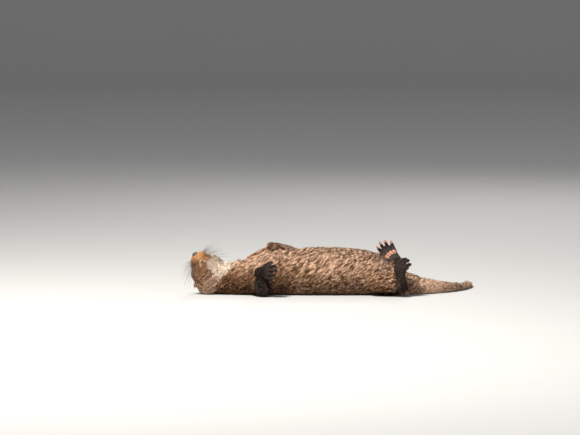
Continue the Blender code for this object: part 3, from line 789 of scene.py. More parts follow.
def eye_distance(points):
    """How far a place is from the middle of the nearer eye."""
    return np.minimum(*(away_from(points, eye_frame(side).translation) for side in (1, -1)))


JAW_FRONT, JAW_ROUNDING, JAW_HALF_WIDTH = 0.021, 0.012, 0.0115
JAW_SPREAD_FROM, JAW_SPREAD_OVER, JAW_SPREAD = 0.033, 0.024, 0.78


def jaw_edge(back):
    """Half the width of the lower jaw between the lips, at a distance behind the nose."""
    share = np.clip((back - JAW_FRONT) / JAW_ROUNDING, 0, 1)
    spread = JAW_SPREAD * np.clip(back - JAW_SPREAD_FROM, 0, JAW_SPREAD_OVER)
    return JAW_HALF_WIDTH * np.sqrt(1 - (1 - share) ** 2) + spread


def jaw_marks(points, normals):
    """Distance out from the mouth's line, and how far the line holds at each point."""
    back, left, _ = place_on_head(points)
    hold = ramp(facing_chin(normals), -0.35, 0.05) * ramp(back, 0.063, 0.052) * ramp(back, 0.019, 0.022)
    near = away_from(points, head_frame() @ Vector((-0.03, 0, 0))) < 0.055
    return (np.abs(left) - jaw_edge(back)) * 0.80, hold * near


def crease_distance(points):
    """Distance ahead of the fold between the head and the neck, which runs in a slight wave."""
    ahead = (points - np.array(HEAD_CUT)) @ np.array(HEAD_CUT_NORMAL.normalized())
    return ahead + 0.002 * np.sin(points[:, 2] * 95)


LID_RADIUS = EYE_RADIUS + 0.0010
SLIT_HALF_LENGTH, SLIT_HALF_HEIGHT = 0.0050, 0.0009
SLIT_UP, SLIT_TILT = -0.0004, 0.05
EYE_REGION = 0.016
HEAD_END = -0.19  # x behind which nothing belongs to the head


def lidded(points):
    """Skin drawn over the eyeballs as two lids, open by a narrow slit, and the slit's dark rim."""
    rim = np.zeros(len(points))
    for side in (1, -1):
        place = eye_frame(side)
        local = in_frame(place, points)
        out, along, up = local.T
        reach = np.hypot(along, up)
        near = (reach < EYE_REGION) & (out > -0.010)
        lid = np.sqrt(np.clip(LID_RADIUS**2 - reach**2, 0, None)) - 0.0035 * ramp(reach, 0.0045, 0.010)
        raised = 0.5 * (out + lid + np.hypot(out - lid, 0.0016))
        raised += (out - raised) * ramp(reach, 0.008, 0.015)
        brow = np.hypot(along * 0.75, up) - 0.0074
        raised -= 0.0007 * bump(brow, 0.0009) * (up > -0.002)
        share = np.clip(1 - (along / SLIT_HALF_LENGTH) ** 2, 0, 1)
        middle = SLIT_UP + SLIT_TILT * side * along
        apart = np.abs(up - middle) - SLIT_HALF_HEIGHT * share
        inside = ramp(apart, 0.00025, -0.00015) * (share > 0)
        ball_surface = np.sqrt(np.clip(EYE_RADIUS**2 - reach**2, 0, None))
        raised += 0.00035 * bump(apart - 0.0006, 0.0006) * np.sqrt(share)
        raised += (np.minimum(ball_surface - 0.0010, raised) - raised) * inside
        move = np.where(near, raised - out, 0)
        points = points + move[:, None] * np.array(place.to_3x3().col[0])
        rim = np.maximum(rim, near * ramp(apart, 0.0011, 0.0002) * np.sqrt(share))
        tear = bump(np.hypot(np.abs(along) - SLIT_HALF_LENGTH, up - middle), 0.0010)
        rim = np.maximum(rim, near * 0.8 * tear)
    return points, rim


def carved(points, normals):
    """The skin's folds: mouth, groove under the nose, and the crease behind the jaw."""
    back, left, up = place_on_head(points)
    outside, hold = jaw_marks(points, normals)
    move = -0.0022 * bump(outside, 0.0010) * hold
    move += 0.0009 * bump(outside - 0.0030, 0.0022) * hold + 0.0007 * bump(outside + 0.0026, 0.0018) * hold
    groove = bump(left, 0.0009) * ramp(back, 0.021, 0.017) * ramp(up, 0.000, -0.004) * (np.abs(left) < 0.01)
    move -= 0.0013 * groove * (away_from(points, NOSE_TIP) < 0.04)
    fold = crease_distance(points)
    front = ramp(normals[:, 1], 0.35, -0.25) * ramp(points[:, 2], 0.008, 0.03) * (points[:, 0] < HEAD_END)
    move -= 0.0060 * bump(fold, 0.0045) * front
    move += 0.0034 * bump(fold + 0.011, 0.0070) * front
    return points + normals * move[:, None]


GRAIN_DRAW = np.array((0.12, 1, 1))  # how slowly the grain changes along the hair


def grain_of(points, distances):
    """Coordinates that change slowly along the hair and fast across it, for short flat fur."""
    back, left, up = place_on_head(points)
    turn = np.arctan2(up, left)
    radius = 0.030
    on_head = np.stack([-back, np.cos(turn) * radius, np.sin(turn) * radius], 1)
    grain = np.where((distances["head"] < distances["neck"])[:, None], on_head, points)
    for name in FEET:
        on_foot = in_frame(foot_frame(name), points)
        grain = np.where((distances[f"foot_{name}"] < 0.010)[:, None], on_foot, grain)
    return grain * GRAIN_DRAW


# How far round its tip the bare skin of a toe goes, as the cosine where it starts and where it is full.
TIP_REACH = {
    "fore_right": (-0.85, -0.45),
    "fore_left": (-0.40, 0.00),
    "hind_right": (-0.10, 0.25),
    "hind_left": (0.42, 0.72),
}


def tip_pads(name, points):
    """How far each point is in the bare skin of the foot's pads and toe tips."""
    place = foot_frame(name)
    rosy = np.zeros(len(points))
    for centre, size in pad_places(name):
        away = in_frame(place @ Matrix.Translation(centre), points) / np.array(size)
        rosy = np.maximum(rosy, ramp(np.linalg.norm(away, axis=1), 1.10, 0.92))
    for joints in foot_toes(name):
        tip, radius = joints[-1]
        along = (tip - joints[-2][0]).normalized()
        facing = along * 0.80 + Vector((along.z, 0, -along.x)) * 0.60
        away = in_frame(place @ Matrix.Translation(tip), points)
        reach = np.linalg.norm(away, axis=1)
        ahead = away @ np.array(facing) / (reach + 1e-9)
        rosy = np.maximum(rosy, ramp(reach / radius, 1.65, 1.35) * ramp(ahead, *TIP_REACH[name]))
    return rosy


# Where along the lower limb the dark fur of the foot begins, and how dark it is. On the near forearm it
# reaches the elbow at full strength, painted shade over dark fur.
DARK_SHANKS = {
    "fore_right": (-0.40, 1.0),
    "fore_left": (0.60, 0.75),
    "hind_right": (0.50, 0.92),
    "hind_left": (0.50, 0.92),
}
# Painted light: how much paler a foot is made, for the far forepaw lying in the light on the belly.
PALER_FEET = {"fore_left": 0.50}
FLANK_RISE = 0.95  # how strongly the hair of the flanks runs up to the belly
SWAY, SWAY_TURNS = 0.13, 70
MARKS = ("cream", "lip", "foot", "pad", "line", "fair", "low", "bare", "glow", "face")


# ---------------------------------------------------------------- markings, painted shade and painted light
def lie_of_hair(points, normals, distances, lie, foot):
    """Direction of the hair along the skin: along the bars, up the flanks, and swaying a little."""
    x, y, height = points.T
    rise = flattened(np.stack([np.zeros(len(points)), -9 * y, np.ones(len(points))], 1), normals)
    flow = ramp(distances["trunk"], 0.036, 0.012) * (1 - foot) * ramp(height, 0.0, 0.06)
    lie = lie + rise * (FLANK_RISE * flow)[:, None]
    x, y, z = SWAY_TURNS * points.T
    sway = np.stack([np.sin(y + 2 * z), np.sin(x * 1.3), np.sin(x + y)], 1)
    lie = flattened(lie + SWAY * sway * (1 - foot)[:, None], normals)
    return lie / (np.linalg.norm(lie, axis=1)[:, None] + 1e-9)


def head_marks(points, normals, head):
    """Markings of the head and throat, with painted shade on the near side of the face."""
    back, left, up = place_on_head(points)
    under = facing_chin(normals)
    outside, hold = jaw_marks(points, normals)
    fold = crease_distance(points)
    ahead = ramp(fold, -0.003, 0.001) * (points[:, 0] < HEAD_END)
    # Less cream on the near side of the throat and cheeks: painted shade, with wet, mottled fur.
    far_side = ramp(left, -0.014, 0.024)
    brown_patch = bump(back - 0.062, 0.020) * bump(left + 0.008, 0.022) * ramp(under, -0.2, 0.3)
    throat = ramp(under, -0.55, 0.10) * ramp(back, 0.030, 0.048) * ahead * (0.22 + 0.78 * far_side)
    throat *= 1 - 0.75 * brown_patch
    band = bump(fold - 0.009, 0.010) * ramp(under, -0.3, 0.2) * ahead
    band *= 0.25 + 0.75 * ramp(points[:, 2], 0.045, 0.080)
    chin = ramp(outside, 0.0004, -0.0010) * ramp(outside, -0.0078, -0.0045) * hold * ramp(back, 0.044, 0.031)
    cheek = ramp(back, 0.040, 0.052) * ramp(under, -0.5, 0.0) * ahead * (0.25 + 0.60 * far_side)
    jowl = 0.55 * ramp(back, 0.075, 0.100) * ramp(under, -0.6, 0.0) * ahead
    lips = ramp(outside, -0.0006, 0.0010) * ramp(back, 0.060, 0.038) * ramp(up, 0.009, -0.001) * head
    # Painted shade: the whisker pad on the near side is darker.
    lips *= 1 - 0.85 * ramp(left, -0.004, -0.013)
    inside_jaw = ramp(outside, -0.0040, -0.0075) * hold
    sockets = ramp(eye_distance(points), 0.017, 0.011)
    # Painted shade on the near side of the face.
    near_cheek_shade = ramp(left, -0.005, -0.015) * head * ramp(back, 0.012, 0.028)
    return {
        "cream": np.maximum.reduce([throat, band, cheek, 0.30 * chin]),
        "lip": np.maximum(lips, 0.40 * inside_jaw),
        "glow": np.maximum(jowl, 0.9 * chin),
        "low": np.maximum.reduce([0.8 * brown_patch, 0.85 * inside_jaw, 0.75 * sockets, 0.45 * near_cheek_shade]),
        "line": np.maximum(bump(outside, 0.0008) * hold, 0.55 * ramp(nose_distance(points), 0.0122, 0.0102)),
        "bare": ramp(nose_distance(points), 0.0125, 0.0100),
        "face": head * ramp(back, 0.066, 0.046),
    }


def body_marks(points, distances, head):
    """Markings of the neck, trunk and tail, with painted shade and painted light."""
    x, _, height = points.T
    on_trunk = ramp(distances["trunk"], 0.012, 0.002)
    tail = ramp(distances["tail"], 0.006, 0.001)
    fold = crease_distance(points)
    # Darker low on the flanks: darker fur there, and painted shade near the floor.
    flank = 0.50 * ramp(height, 0.055, 0.010) * (1 - ramp(x, 0.29, 0.34)) * (1 - 0.6 * head * (fold > 0))
    # Painted shade along the side of the neck, low near the floor.
    neck_shade = ramp(fold, 0.000, -0.004) * ramp(x, -0.06, -0.14) * ramp(height, 0.095, 0.045)
    # Painted shadow of the near forepaw on the chest, laid on both sides.
    chest_shadow = bump(x + 0.085, 0.050) * ramp(height, 0.125, 0.070) * on_trunk
    # Paler towards the top of the trunk: the paler belly, and painted light on its upper side.
    fair = on_trunk * (0.10 + 0.90 * ramp(height, 0.030, 0.100))
    fair = np.maximum(fair, tail * (1 - on_trunk * 0.4))
    return {
        # The paler belly gives way to the painted shade of the neck and the painted shadow on the chest.
        "fair": fair * (1 - 0.85 * np.maximum(neck_shade, chest_shadow)),
        "low": np.maximum.reduce([flank, neck_shade, chest_shadow]),
        # Warm pale fur low on the tail's root, also painted light where the near hind foot's shadow falls.
        "glow": bump(x - 0.400, 0.060) * tail * ramp(height, 0.060, 0.035),
    }


def limb_marks(points, distances, foot):
    """Dark fur of the feet and shanks, painted shade on the near forearm, painted light on the far forepaw,
    and bare pads.
    """
    dark, pads = foot.copy(), np.zeros(len(points))
    for name, (_, middle, end) in LIMBS.items():
        reach, share = capsule(points, middle[0], end[0], middle[1], end[1])
        start, strength = DARK_SHANKS[name]
        dark = np.maximum(dark, ramp(reach, 0.006, 0.001) * strength * ramp(share, start, start + 0.35))
        pads = np.maximum(pads, tip_pads(name, points))
    # Painted light on the far forepaw.
    for name, strength in PALER_FEET.items():
        dark *= 1 - strength * ramp(distances[f"foot_{name}"], 0.02, 0.01)
    return {"foot": dark, "pad": pads * foot, "bare": pads * foot}


def marked(mesh, rim):
    """Stores the markings, the painted shade and light, and the lie of the coat on the skin."""
    points, normals = points_of(mesh)
    distances, lie = part_map(points)
    head = ramp(distances["head"], 0.020, 0.004)
    foot = np.max([ramp(distances[f"foot_{name}"], 0.0060, 0.0035) for name in FEET], axis=0)
    store(mesh, "lie", lie_of_hair(points, normals, distances, lie, foot))
    groups = (
        head_marks(points, normals, head),
        body_marks(points, distances, head),
        limb_marks(points, distances, foot),
        {"line": rim, "bare": rim},
    )
    for name in MARKS:
        values = [group[name] for group in groups if name in group]
        store(mesh, name, np.clip(np.maximum.reduce(values), 0, 1))
    store(mesh, "grain", grain_of(points, distances))
    for name in ("tint", "shade"):
        store(mesh, name, np.full(len(points), 0.5))


# ---------------------------------------------------------------- the skin itself
def refined(mesh, chosen, cuts):
    """The mesh with finer triangles where chosen is true for a whole edge."""
    bm = bmesh.new()
    bm.from_mesh(mesh)
    bm.verts.ensure_lookup_table()
    edges = [e for e in bm.edges if chosen[e.verts[0].index] and chosen[e.verts[1].index]]
    bmesh.ops.subdivide_edges(bm, edges=edges, cuts=cuts, use_grid_fill=True)
    bmesh.ops.triangulate(bm, faces=[f for f in bm.faces if len(f.verts) > 3])
    return mesh_from(bm, "refined")


def skin_mesh():
    """One closed surface over trunk, neck, head, tail, limbs and feet, and its lids' rims."""
    forms = [trunk_loft(TRUNK_DEPTH), tail_loft(TAIL_DEPTH)]
    forms.append(tube([(point, radius - NECK_DEPTH) for point, radius in NECK], BODY_SIDES))
    forms += head_forms(head_frame())
    for name, chain in LIMBS.items():
        for segment in (chain[:2], chain[1:]):
            forms.append(tube([(point, radius - LIMB_DEPTH) for point, radius in segment], LIMB_SIDES, 5))
        forms += foot_forms(name)

    def grow_together(obj):
        remesh = obj.modifiers.new("remesh", "REMESH")
        remesh.mode = "VOXEL"
        remesh.voxel_size = SKIN_GRID * coarser()
        obj.modifiers.new("triangles", "TRIANGULATE")

    mesh = evaluated(joined(forms), grow_together)
    points, _ = points_of(mesh)
    distances, _ = part_map(points)
    fine = np.minimum.reduce([distances[f"foot_{name}"] for name in FEET])
    back, _, _ = place_on_head(points)
    body = ramp(fine, 0.004, 0.009) * np.where(distances["head"] < 0.02, ramp(back, 0.055, 0.10), 1)
    body *= ramp(ear_distance(points), 0.020, 0.032)
    points = relaxed(mesh, points, FORM_SMOOTHING, np.full(len(points), 0.5))
    points = relaxed(mesh, points, BODY_SMOOTHING, 0.6 * body)
    points[:, 2] = np.maximum(points[:, 2], UNDERSIDE)
    put_points(mesh, points)

    def thin_out(obj):
        group = obj.vertex_groups.new(name="body")
        for level in (1, 2, 3, 4):
            chosen = np.nonzero(np.ceil(body * 4) == level)[0]
            group.add(chosen.tolist(), level / 4, "REPLACE")
        decimate = obj.modifiers.new("decimate", "DECIMATE")
        decimate.ratio = min(1.0, SKIN_TRIANGLES / len(mesh.polygons))
        decimate.vertex_group = "body"
        decimate.vertex_group_factor = 4.0

    mesh = evaluated(mesh, thin_out)
    outside, hold = jaw_marks(*points_of(mesh))
    mesh = refined(mesh, (np.abs(outside) < 0.004) & (hold > 0.02), 1)
    mesh = refined(mesh, eye_distance(points_of(mesh)[0]) < 0.0100, 3)
    points, rim = lidded(carved(*points_of(mesh)))
    put_points(mesh, points)
    return mesh, rim


# ---------------------------------------------------------------- materials
class Nodes:
    """Short ways to add and join nodes of a material or a node group."""

    def __init__(self, tree):
        self.tree = tree

    def add(self, kind, **settings):
        """A new node with these settings."""
        node = self.tree.nodes.new(kind)
        for key, value in settings.items():
            setattr(node, key, value)
        return node

    def link(self, source, target):
        """Joins an output to an input."""
        self.tree.links.new(source, target)

    def put(self, value, target):
        """Gives an input a value, or joins an output to it."""
        if isinstance(value, bpy.types.NodeSocket):
            self.link(value, target)
        else:
            target.default_value = value

    def attribute(self, name):
        """A number kept on the mesh."""
        return self.add("ShaderNodeAttribute", attribute_name=name).outputs["Fac"]

    def mix(self, share, first, second, blend="MIX"):
        """First with a share of second laid over it."""
        node = self.add("ShaderNodeMix", data_type="RGBA", blend_type=blend)
        sockets = [s for s in node.inputs if s.enabled]
        for value, socket in zip((share, first, second), sockets):
            if isinstance(value, tuple):
                value = (*value, 1)
            self.put(value, socket)
        return [s for s in node.outputs if s.enabled][0]

    def math(self, operation, *values):
        """The result of an operation on numbers."""
        node = self.add("ShaderNodeMath", operation=operation)
        for value, socket in zip(values, node.inputs):
            self.put(value, socket)
        return node.outputs[0]

    def times(self, first, second):
        """The product of two numbers."""
        return self.math("MULTIPLY", first, second)

    def less(self, value, share):
        """1 less a share of the value."""
        return self.math("SUBTRACT", 1.0, self.times(value, share))

    def noise(self, scale, detail=3.0, vector=None):
        """Cloudy noise from 0 to 1, over the object where no vector is given."""
        node = self.add("ShaderNodeTexNoise")
        node.inputs["Scale"].default_value = scale
        node.inputs["Detail"].default_value = detail
        if vector is None:
            vector = self.add("ShaderNodeTexCoord").outputs["Object"]
        self.link(vector, node.inputs["Vector"])
        return node.outputs["Fac"]

    def spread(self, value, low, high):
        """0 at low, 1 at high, and a smooth rise between."""
        node = self.add("ShaderNodeMapRange", interpolation_type="SMOOTHSTEP")
        self.put(value, node.inputs["Value"])
        node.inputs["From Min"].default_value = low
        node.inputs["From Max"].default_value = high
        return node.outputs["Result"]

    def relief(self, height, strength, distance):
        """A normal that makes the surface stand out where height does."""
        node = self.add("ShaderNodeBump")
        node.inputs["Strength"].default_value = strength
        node.inputs["Distance"].default_value = distance
        self.link(height, node.inputs["Height"])
        return node.outputs["Normal"]


def new_material(name, roughness):
    """A material, its nodes, and its shader."""
    material = bpy.data.materials.new(name)
    material.use_nodes = True
    shader = material.node_tree.nodes["Principled BSDF"]
    shader.inputs["Roughness"].default_value = roughness
    return material, Nodes(material.node_tree), shader


def colour(name, share=1.0):
    """A colour from the panel, or a brighter or darker one."""
    return tuple(share * c for c in getattr(bpy.context.scene.otter_colours, name))


def streaks(nodes):
    """Long locks over the body: a noise drawn out along the lie of the flanks."""
    drawn = nodes.add("ShaderNodeMapping", vector_type="TEXTURE")
    nodes.link(nodes.add("ShaderNodeTexCoord").outputs["Object"], drawn.inputs["Vector"])
    drawn.inputs["Rotation"].default_value = (0, -math.radians(38), 0)
    drawn.inputs["Scale"].default_value = (3.6, 1, 1)
    return nodes.noise(158, 2, drawn.outputs["Vector"])


# Paler mottling of the dark feet: natural variation, and painted highlights where wet fur glints.
FOOT_MOTTLE_GLINT = (0.100, 0.078, 0.066)
LIP_LINE = (0.022, 0.012, 0.010)


def fur_colour(nodes):
    """The markings, with painted shade and painted light, shared by the skin and the coat: attributes over a
    mottled brown.
    """
    low, glow = nodes.attribute("low"), nodes.attribute("glow")
    mottle = nodes.spread(nodes.noise(38, 4), 0.34, 0.66)
    fine = nodes.spread(nodes.noise(150, 2), 0.30, 0.70)
    tone = nodes.mix(nodes.times(mottle, 0.34), colour("brown"), colour("shade"))
    # The low mask: dark marks of the fur, and painted shade low on the flanks, along the neck, on the chest
    # and on the near side of the face.
    tone = nodes.mix(nodes.times(low, 0.86), tone, colour("shade"))
    share = nodes.math("ADD", 0.52, nodes.times(fine, 0.35))
    tone = nodes.mix(nodes.times(nodes.attribute("fair"), share), tone, colour("fair"))
    tone = nodes.mix(glow, tone, colour("glow"))
    lock = streaks(nodes)
    on_body = nodes.less(nodes.attribute("face"), 1.0)
    # Light streaks along the locks, a lit copy of the belly's colour, are painted highlights; dark streaks
    # between them are painted shade.
    dark = nodes.times(nodes.times(nodes.spread(lock, 0.50, 0.41), 0.90), on_body)
    light = nodes.times(nodes.times(nodes.spread(lock, 0.52, 0.61), 0.85), on_body)
    tone = nodes.mix(nodes.times(dark, nodes.less(glow, 0.7)), tone, colour("shade"))
    tone = nodes.mix(nodes.times(light, nodes.less(low, 0.8)), tone, colour("fair", 1.45))
    tone = nodes.mix(nodes.attribute("lip"), tone, colour("lip"))
    loose = nodes.math("ADD", nodes.times(nodes.attribute("tint"), 0.5), nodes.times(fine, 0.5))
    share = nodes.math("SUBTRACT", nodes.times(nodes.attribute("cream"), 1.75), nodes.times(loose, 0.85))
    tone = nodes.mix(nodes.spread(share, 0.0, 0.75), tone, colour("cream"))
    # Painted highlights of wet fur, with natural variation, mottled over the dark feet.
    blotchy = nodes.times(nodes.spread(nodes.noise(190, 3), 0.54, 0.68), 0.60)
    return nodes.mix(nodes.attribute("foot"), tone, nodes.mix(blotchy, colour("foot"), FOOT_MOTTLE_GLINT))


def skin_material():
    """Short flat fur over skin, darkened as painted shade where it shows between the tufts, bare on the pads,
    with dark rims to the mouth and lids.
    """
    material, nodes, shader = new_material("skin", 0.62)
    grain = nodes.add("ShaderNodeAttribute", attribute_name="grain").outputs["Vector"]
    hairs = nodes.spread(nodes.noise(1500, 3, grain), 0.32, 0.68)
    # Hair grain, and darker overall: painted shade in the gaps of the coat.
    furred = nodes.times(nodes.less(nodes.attribute("bare"), 1.0), 0.85)
    under = nodes.mix(hairs, (0.34, 0.30, 0.28), (0.86, 0.82, 0.80))
    tone = nodes.mix(furred, fur_colour(nodes), under, "MULTIPLY")
    pad = nodes.mix(nodes.spread(nodes.noise(300, 3), 0.35, 0.65), colour("pad"), colour("pad", 0.55))
    tone = nodes.mix(nodes.attribute("pad"), tone, pad)
    tone = nodes.mix(nodes.attribute("line"), tone, LIP_LINE)
    nodes.link(tone, shader.inputs["Base Color"])
    nodes.link(nodes.relief(hairs, 0.7, 0.0006), shader.inputs["Normal"])
    shader.inputs["Specular IOR Level"].default_value = 0.25
    return material


def coat_material():
    """Fur: the skin's markings, darker at the roots as painted shade, with a tint of its own for each tuft
    and blade.
    """
    material, nodes, shader = new_material("coat", 0.52)
    tone = fur_colour(nodes)
    tint, shade = nodes.attribute("tint"), nodes.attribute("shade")
    own = nodes.math("ADD", nodes.times(tint, 0.58), nodes.times(shade, 0.42))
    bright = nodes.math("SUBTRACT", 0.75, nodes.times(nodes.attribute("foot"), 0.68))
    # Tufts lighten at random, less on the feet and in the painted shade of the low mask.
    bright = nodes.times(bright, nodes.less(nodes.attribute("low"), 0.6))
    deep = nodes.times(nodes.spread(own, 0.50, 0.10), 0.85)
    # Painted shade deep in the coat: darker towards the tufts' roots.
    root = nodes.times(nodes.spread(nodes.attribute("along"), 0.60, 0.0), 0.85)
    tone = nodes.mix(deep, tone, (0.34, 0.28, 0.25), "MULTIPLY")
    tone = nodes.mix(nodes.times(nodes.spread(own, 0.50, 0.90), bright), tone, (0.30, 0.215, 0.150), "SCREEN")
    tone = nodes.mix(root, tone, (0.40, 0.34, 0.30), "MULTIPLY")
    nodes.link(tone, shader.inputs["Base Color"])
    shader.inputs["Specular IOR Level"].default_value = 0.16
    return material


def glazed(shader, weight, roughness):
    """A clear wet layer over a finish."""
    shader.inputs["Coat Weight"].default_value = weight
    shader.inputs["Coat Roughness"].default_value = roughness


def nose_material():
    """Moist dark skin, finely pebbled."""
    material, nodes, shader = new_material("nose_skin", 0.40)
    pebble = nodes.add("ShaderNodeTexVoronoi", feature="DISTANCE_TO_EDGE")
    pebble.inputs["Scale"].default_value = 900
    nodes.link(nodes.add("ShaderNodeTexCoord").outputs["Object"], pebble.inputs["Vector"])
    edge = nodes.spread(pebble.outputs["Distance"], 0.0, 0.28)
    nodes.link(nodes.mix(edge, colour("nose", 0.45), colour("nose")), shader.inputs["Base Color"])
    nodes.link(nodes.relief(edge, 0.4, 0.0002), shader.inputs["Normal"])
    glazed(shader, 0.25, 0.25)
    return material


def horn_material():
    """Streaked horn, paler towards the tips."""
    material, nodes, shader = new_material("horn", 0.34)
    streak = nodes.times(nodes.noise(700, 2), 0.5)
    share = nodes.math("MINIMUM", nodes.math("ADD", nodes.times(nodes.attribute("along"), 0.55), streak), 1.0)
    nodes.link(nodes.mix(share, colour("claw", 0.38), colour("claw")), shader.inputs["Base Color"])
    return material


def eye_material():
    """Wet dark brown."""
    material, nodes, shader = new_material("eye", 0.05)
    speck = nodes.spread(nodes.noise(1500, 2), 0.35, 0.7)
    nodes.link(nodes.mix(speck, (0.006, 0.004, 0.004), colour("iris")), shader.inputs["Base Color"])
    glazed(shader, 1.0, 0.02)
    return material


def whisker_material():
    """Stiff hair, paler towards the tips."""
    material, nodes, shader = new_material("whisker", 0.35)
    paler = nodes.spread(nodes.attribute("along"), 0.0, 0.75)
    nodes.link(nodes.mix(paler, (0.060, 0.038, 0.026), colour("whisker")), shader.inputs["Base Color"])
    return material


# ---------------------------------------------------------------- coat
LONG_BLADES, SHORT_BLADES = 6, 4
BLADE_MIDDLE = 0.46  # share of the length at which a blade bends
TUFTS = ("Tuft 1", "Tuft 2", "Tuft 3")
TUFT_GAP, TUFT_CROWD = 0.62, 1.75  # least gap against the spacing, and tufts tried on a square of it


def tuft_mesh(name, number, blades):
    """A lock of tapering hairs whose tips draw together. It is about 1 long, and reaches 1 to each side."""
    rng = np.random.default_rng(100 * blades + number)
    bm = bmesh.new()
    along = bm.verts.layers.float.new("along")
    shade = bm.verts.layers.float.new("shade")
    patch = bm.verts.layers.float_vector.new("patch")
    for blade in range(blades):
        side = 2 * (blade + rng.uniform(0.2, 0.8)) / blades - 1
        root = Vector((rng.uniform(-0.14, 0.12), side, -0.25 + 0.45 * rng.uniform(-1, 1)))
        reach = rng.uniform(0.74, 1.04)
        across = 0.42 * side + rng.uniform(-0.28, 0.28)
        tip = Vector((reach, across, rng.uniform(-0.45, 0.15)))
        middle = root.lerp(tip, BLADE_MIDDLE) + Vector((0, 0.16 * side, rng.uniform(0.30, 0.55)))
        own = rng.uniform(0, 1)
        rings = []
        low = (root, rng.uniform(0.22, 0.30), 0.0)
        high = (middle, rng.uniform(0.20, 0.27), BLADE_MIDDLE)
        for centre, size, share in (low, high):
            ring = []
            for corner in range(3):
                angle = 2 * math.pi * corner / 3 + math.pi / 2
                offset = Vector((0, math.cos(angle) * size, math.sin(angle) * size * 0.7))
                vertex = bm.verts.new(centre + offset)
                vertex[along] = share
                vertex[shade] = own
                vertex[patch] = (share, (blade + 0.2 + 0.25 * corner) / blades, 0)
                ring.append(vertex)
            rings.append(ring)
        end = bm.verts.new(tip)
        end[along] = 1
        end[shade] = own
        end[patch] = (1, (blade + 0.5) / blades, 0)
        first, second = rings
        bm.faces.new(first)
        for i in range(3):
            j = (i + 1) % 3
            bm.faces.new((first[i], first[j], second[j]))
            bm.faces.new((first[i], second[j], second[i]))
            bm.faces.new((second[i], second[j], end))
    for face in bm.faces:
        face.smooth = True
    return mesh_from(bm, name, turned=True)


def enabled(sockets, name):
    """The socket of this name that is in use."""
    return next(s for s in sockets if s.enabled and s.name == name)


def named(nodes, name, kind="FLOAT"):
    """A number or vector kept on the mesh."""
    node = nodes.add("GeometryNodeInputNamedAttribute", data_type=kind)
    node.inputs["Name"].default_value = name
    return enabled(node.outputs, "Attribute")


def random_value(nodes, kind, low, high, seed):
    """A random number or vector for each tuft."""
    node = nodes.add("FunctionNodeRandomValue", data_type=kind)
    enabled(node.inputs, "Min").default_value = low
    enabled(node.inputs, "Max").default_value = high
    nodes.put(seed, enabled(node.inputs, "Seed"))
    return enabled(node.outputs, "Value")


def vector_sum(nodes, first, *others):
    """The sum of vectors."""
    for other in others:
        node = nodes.add("ShaderNodeVectorMath", operation="ADD")
        nodes.link(first, node.inputs[0])
        nodes.link(other, node.inputs[1])
        first = node.outputs["Vector"]
    return first


def scaled(nodes, vector, scale):
    """A vector times a number."""
    node = nodes.add("ShaderNodeVectorMath", operation="SCALE")
    nodes.link(vector, node.inputs[0])
    nodes.link(scale, node.inputs["Scale"])
    return node.outputs["Vector"]


def stored(nodes, geometry, name, value, kind, domain):
    """The geometry with a value kept on it under a name."""
    node = nodes.add("GeometryNodeStoreNamedAttribute", data_type=kind, domain=domain)
    nodes.link(geometry, node.inputs["Geometry"])
    node.inputs["Name"].default_value = name
    nodes.link(value, enabled(node.inputs, "Value"))
    return node.outputs["Geometry"]


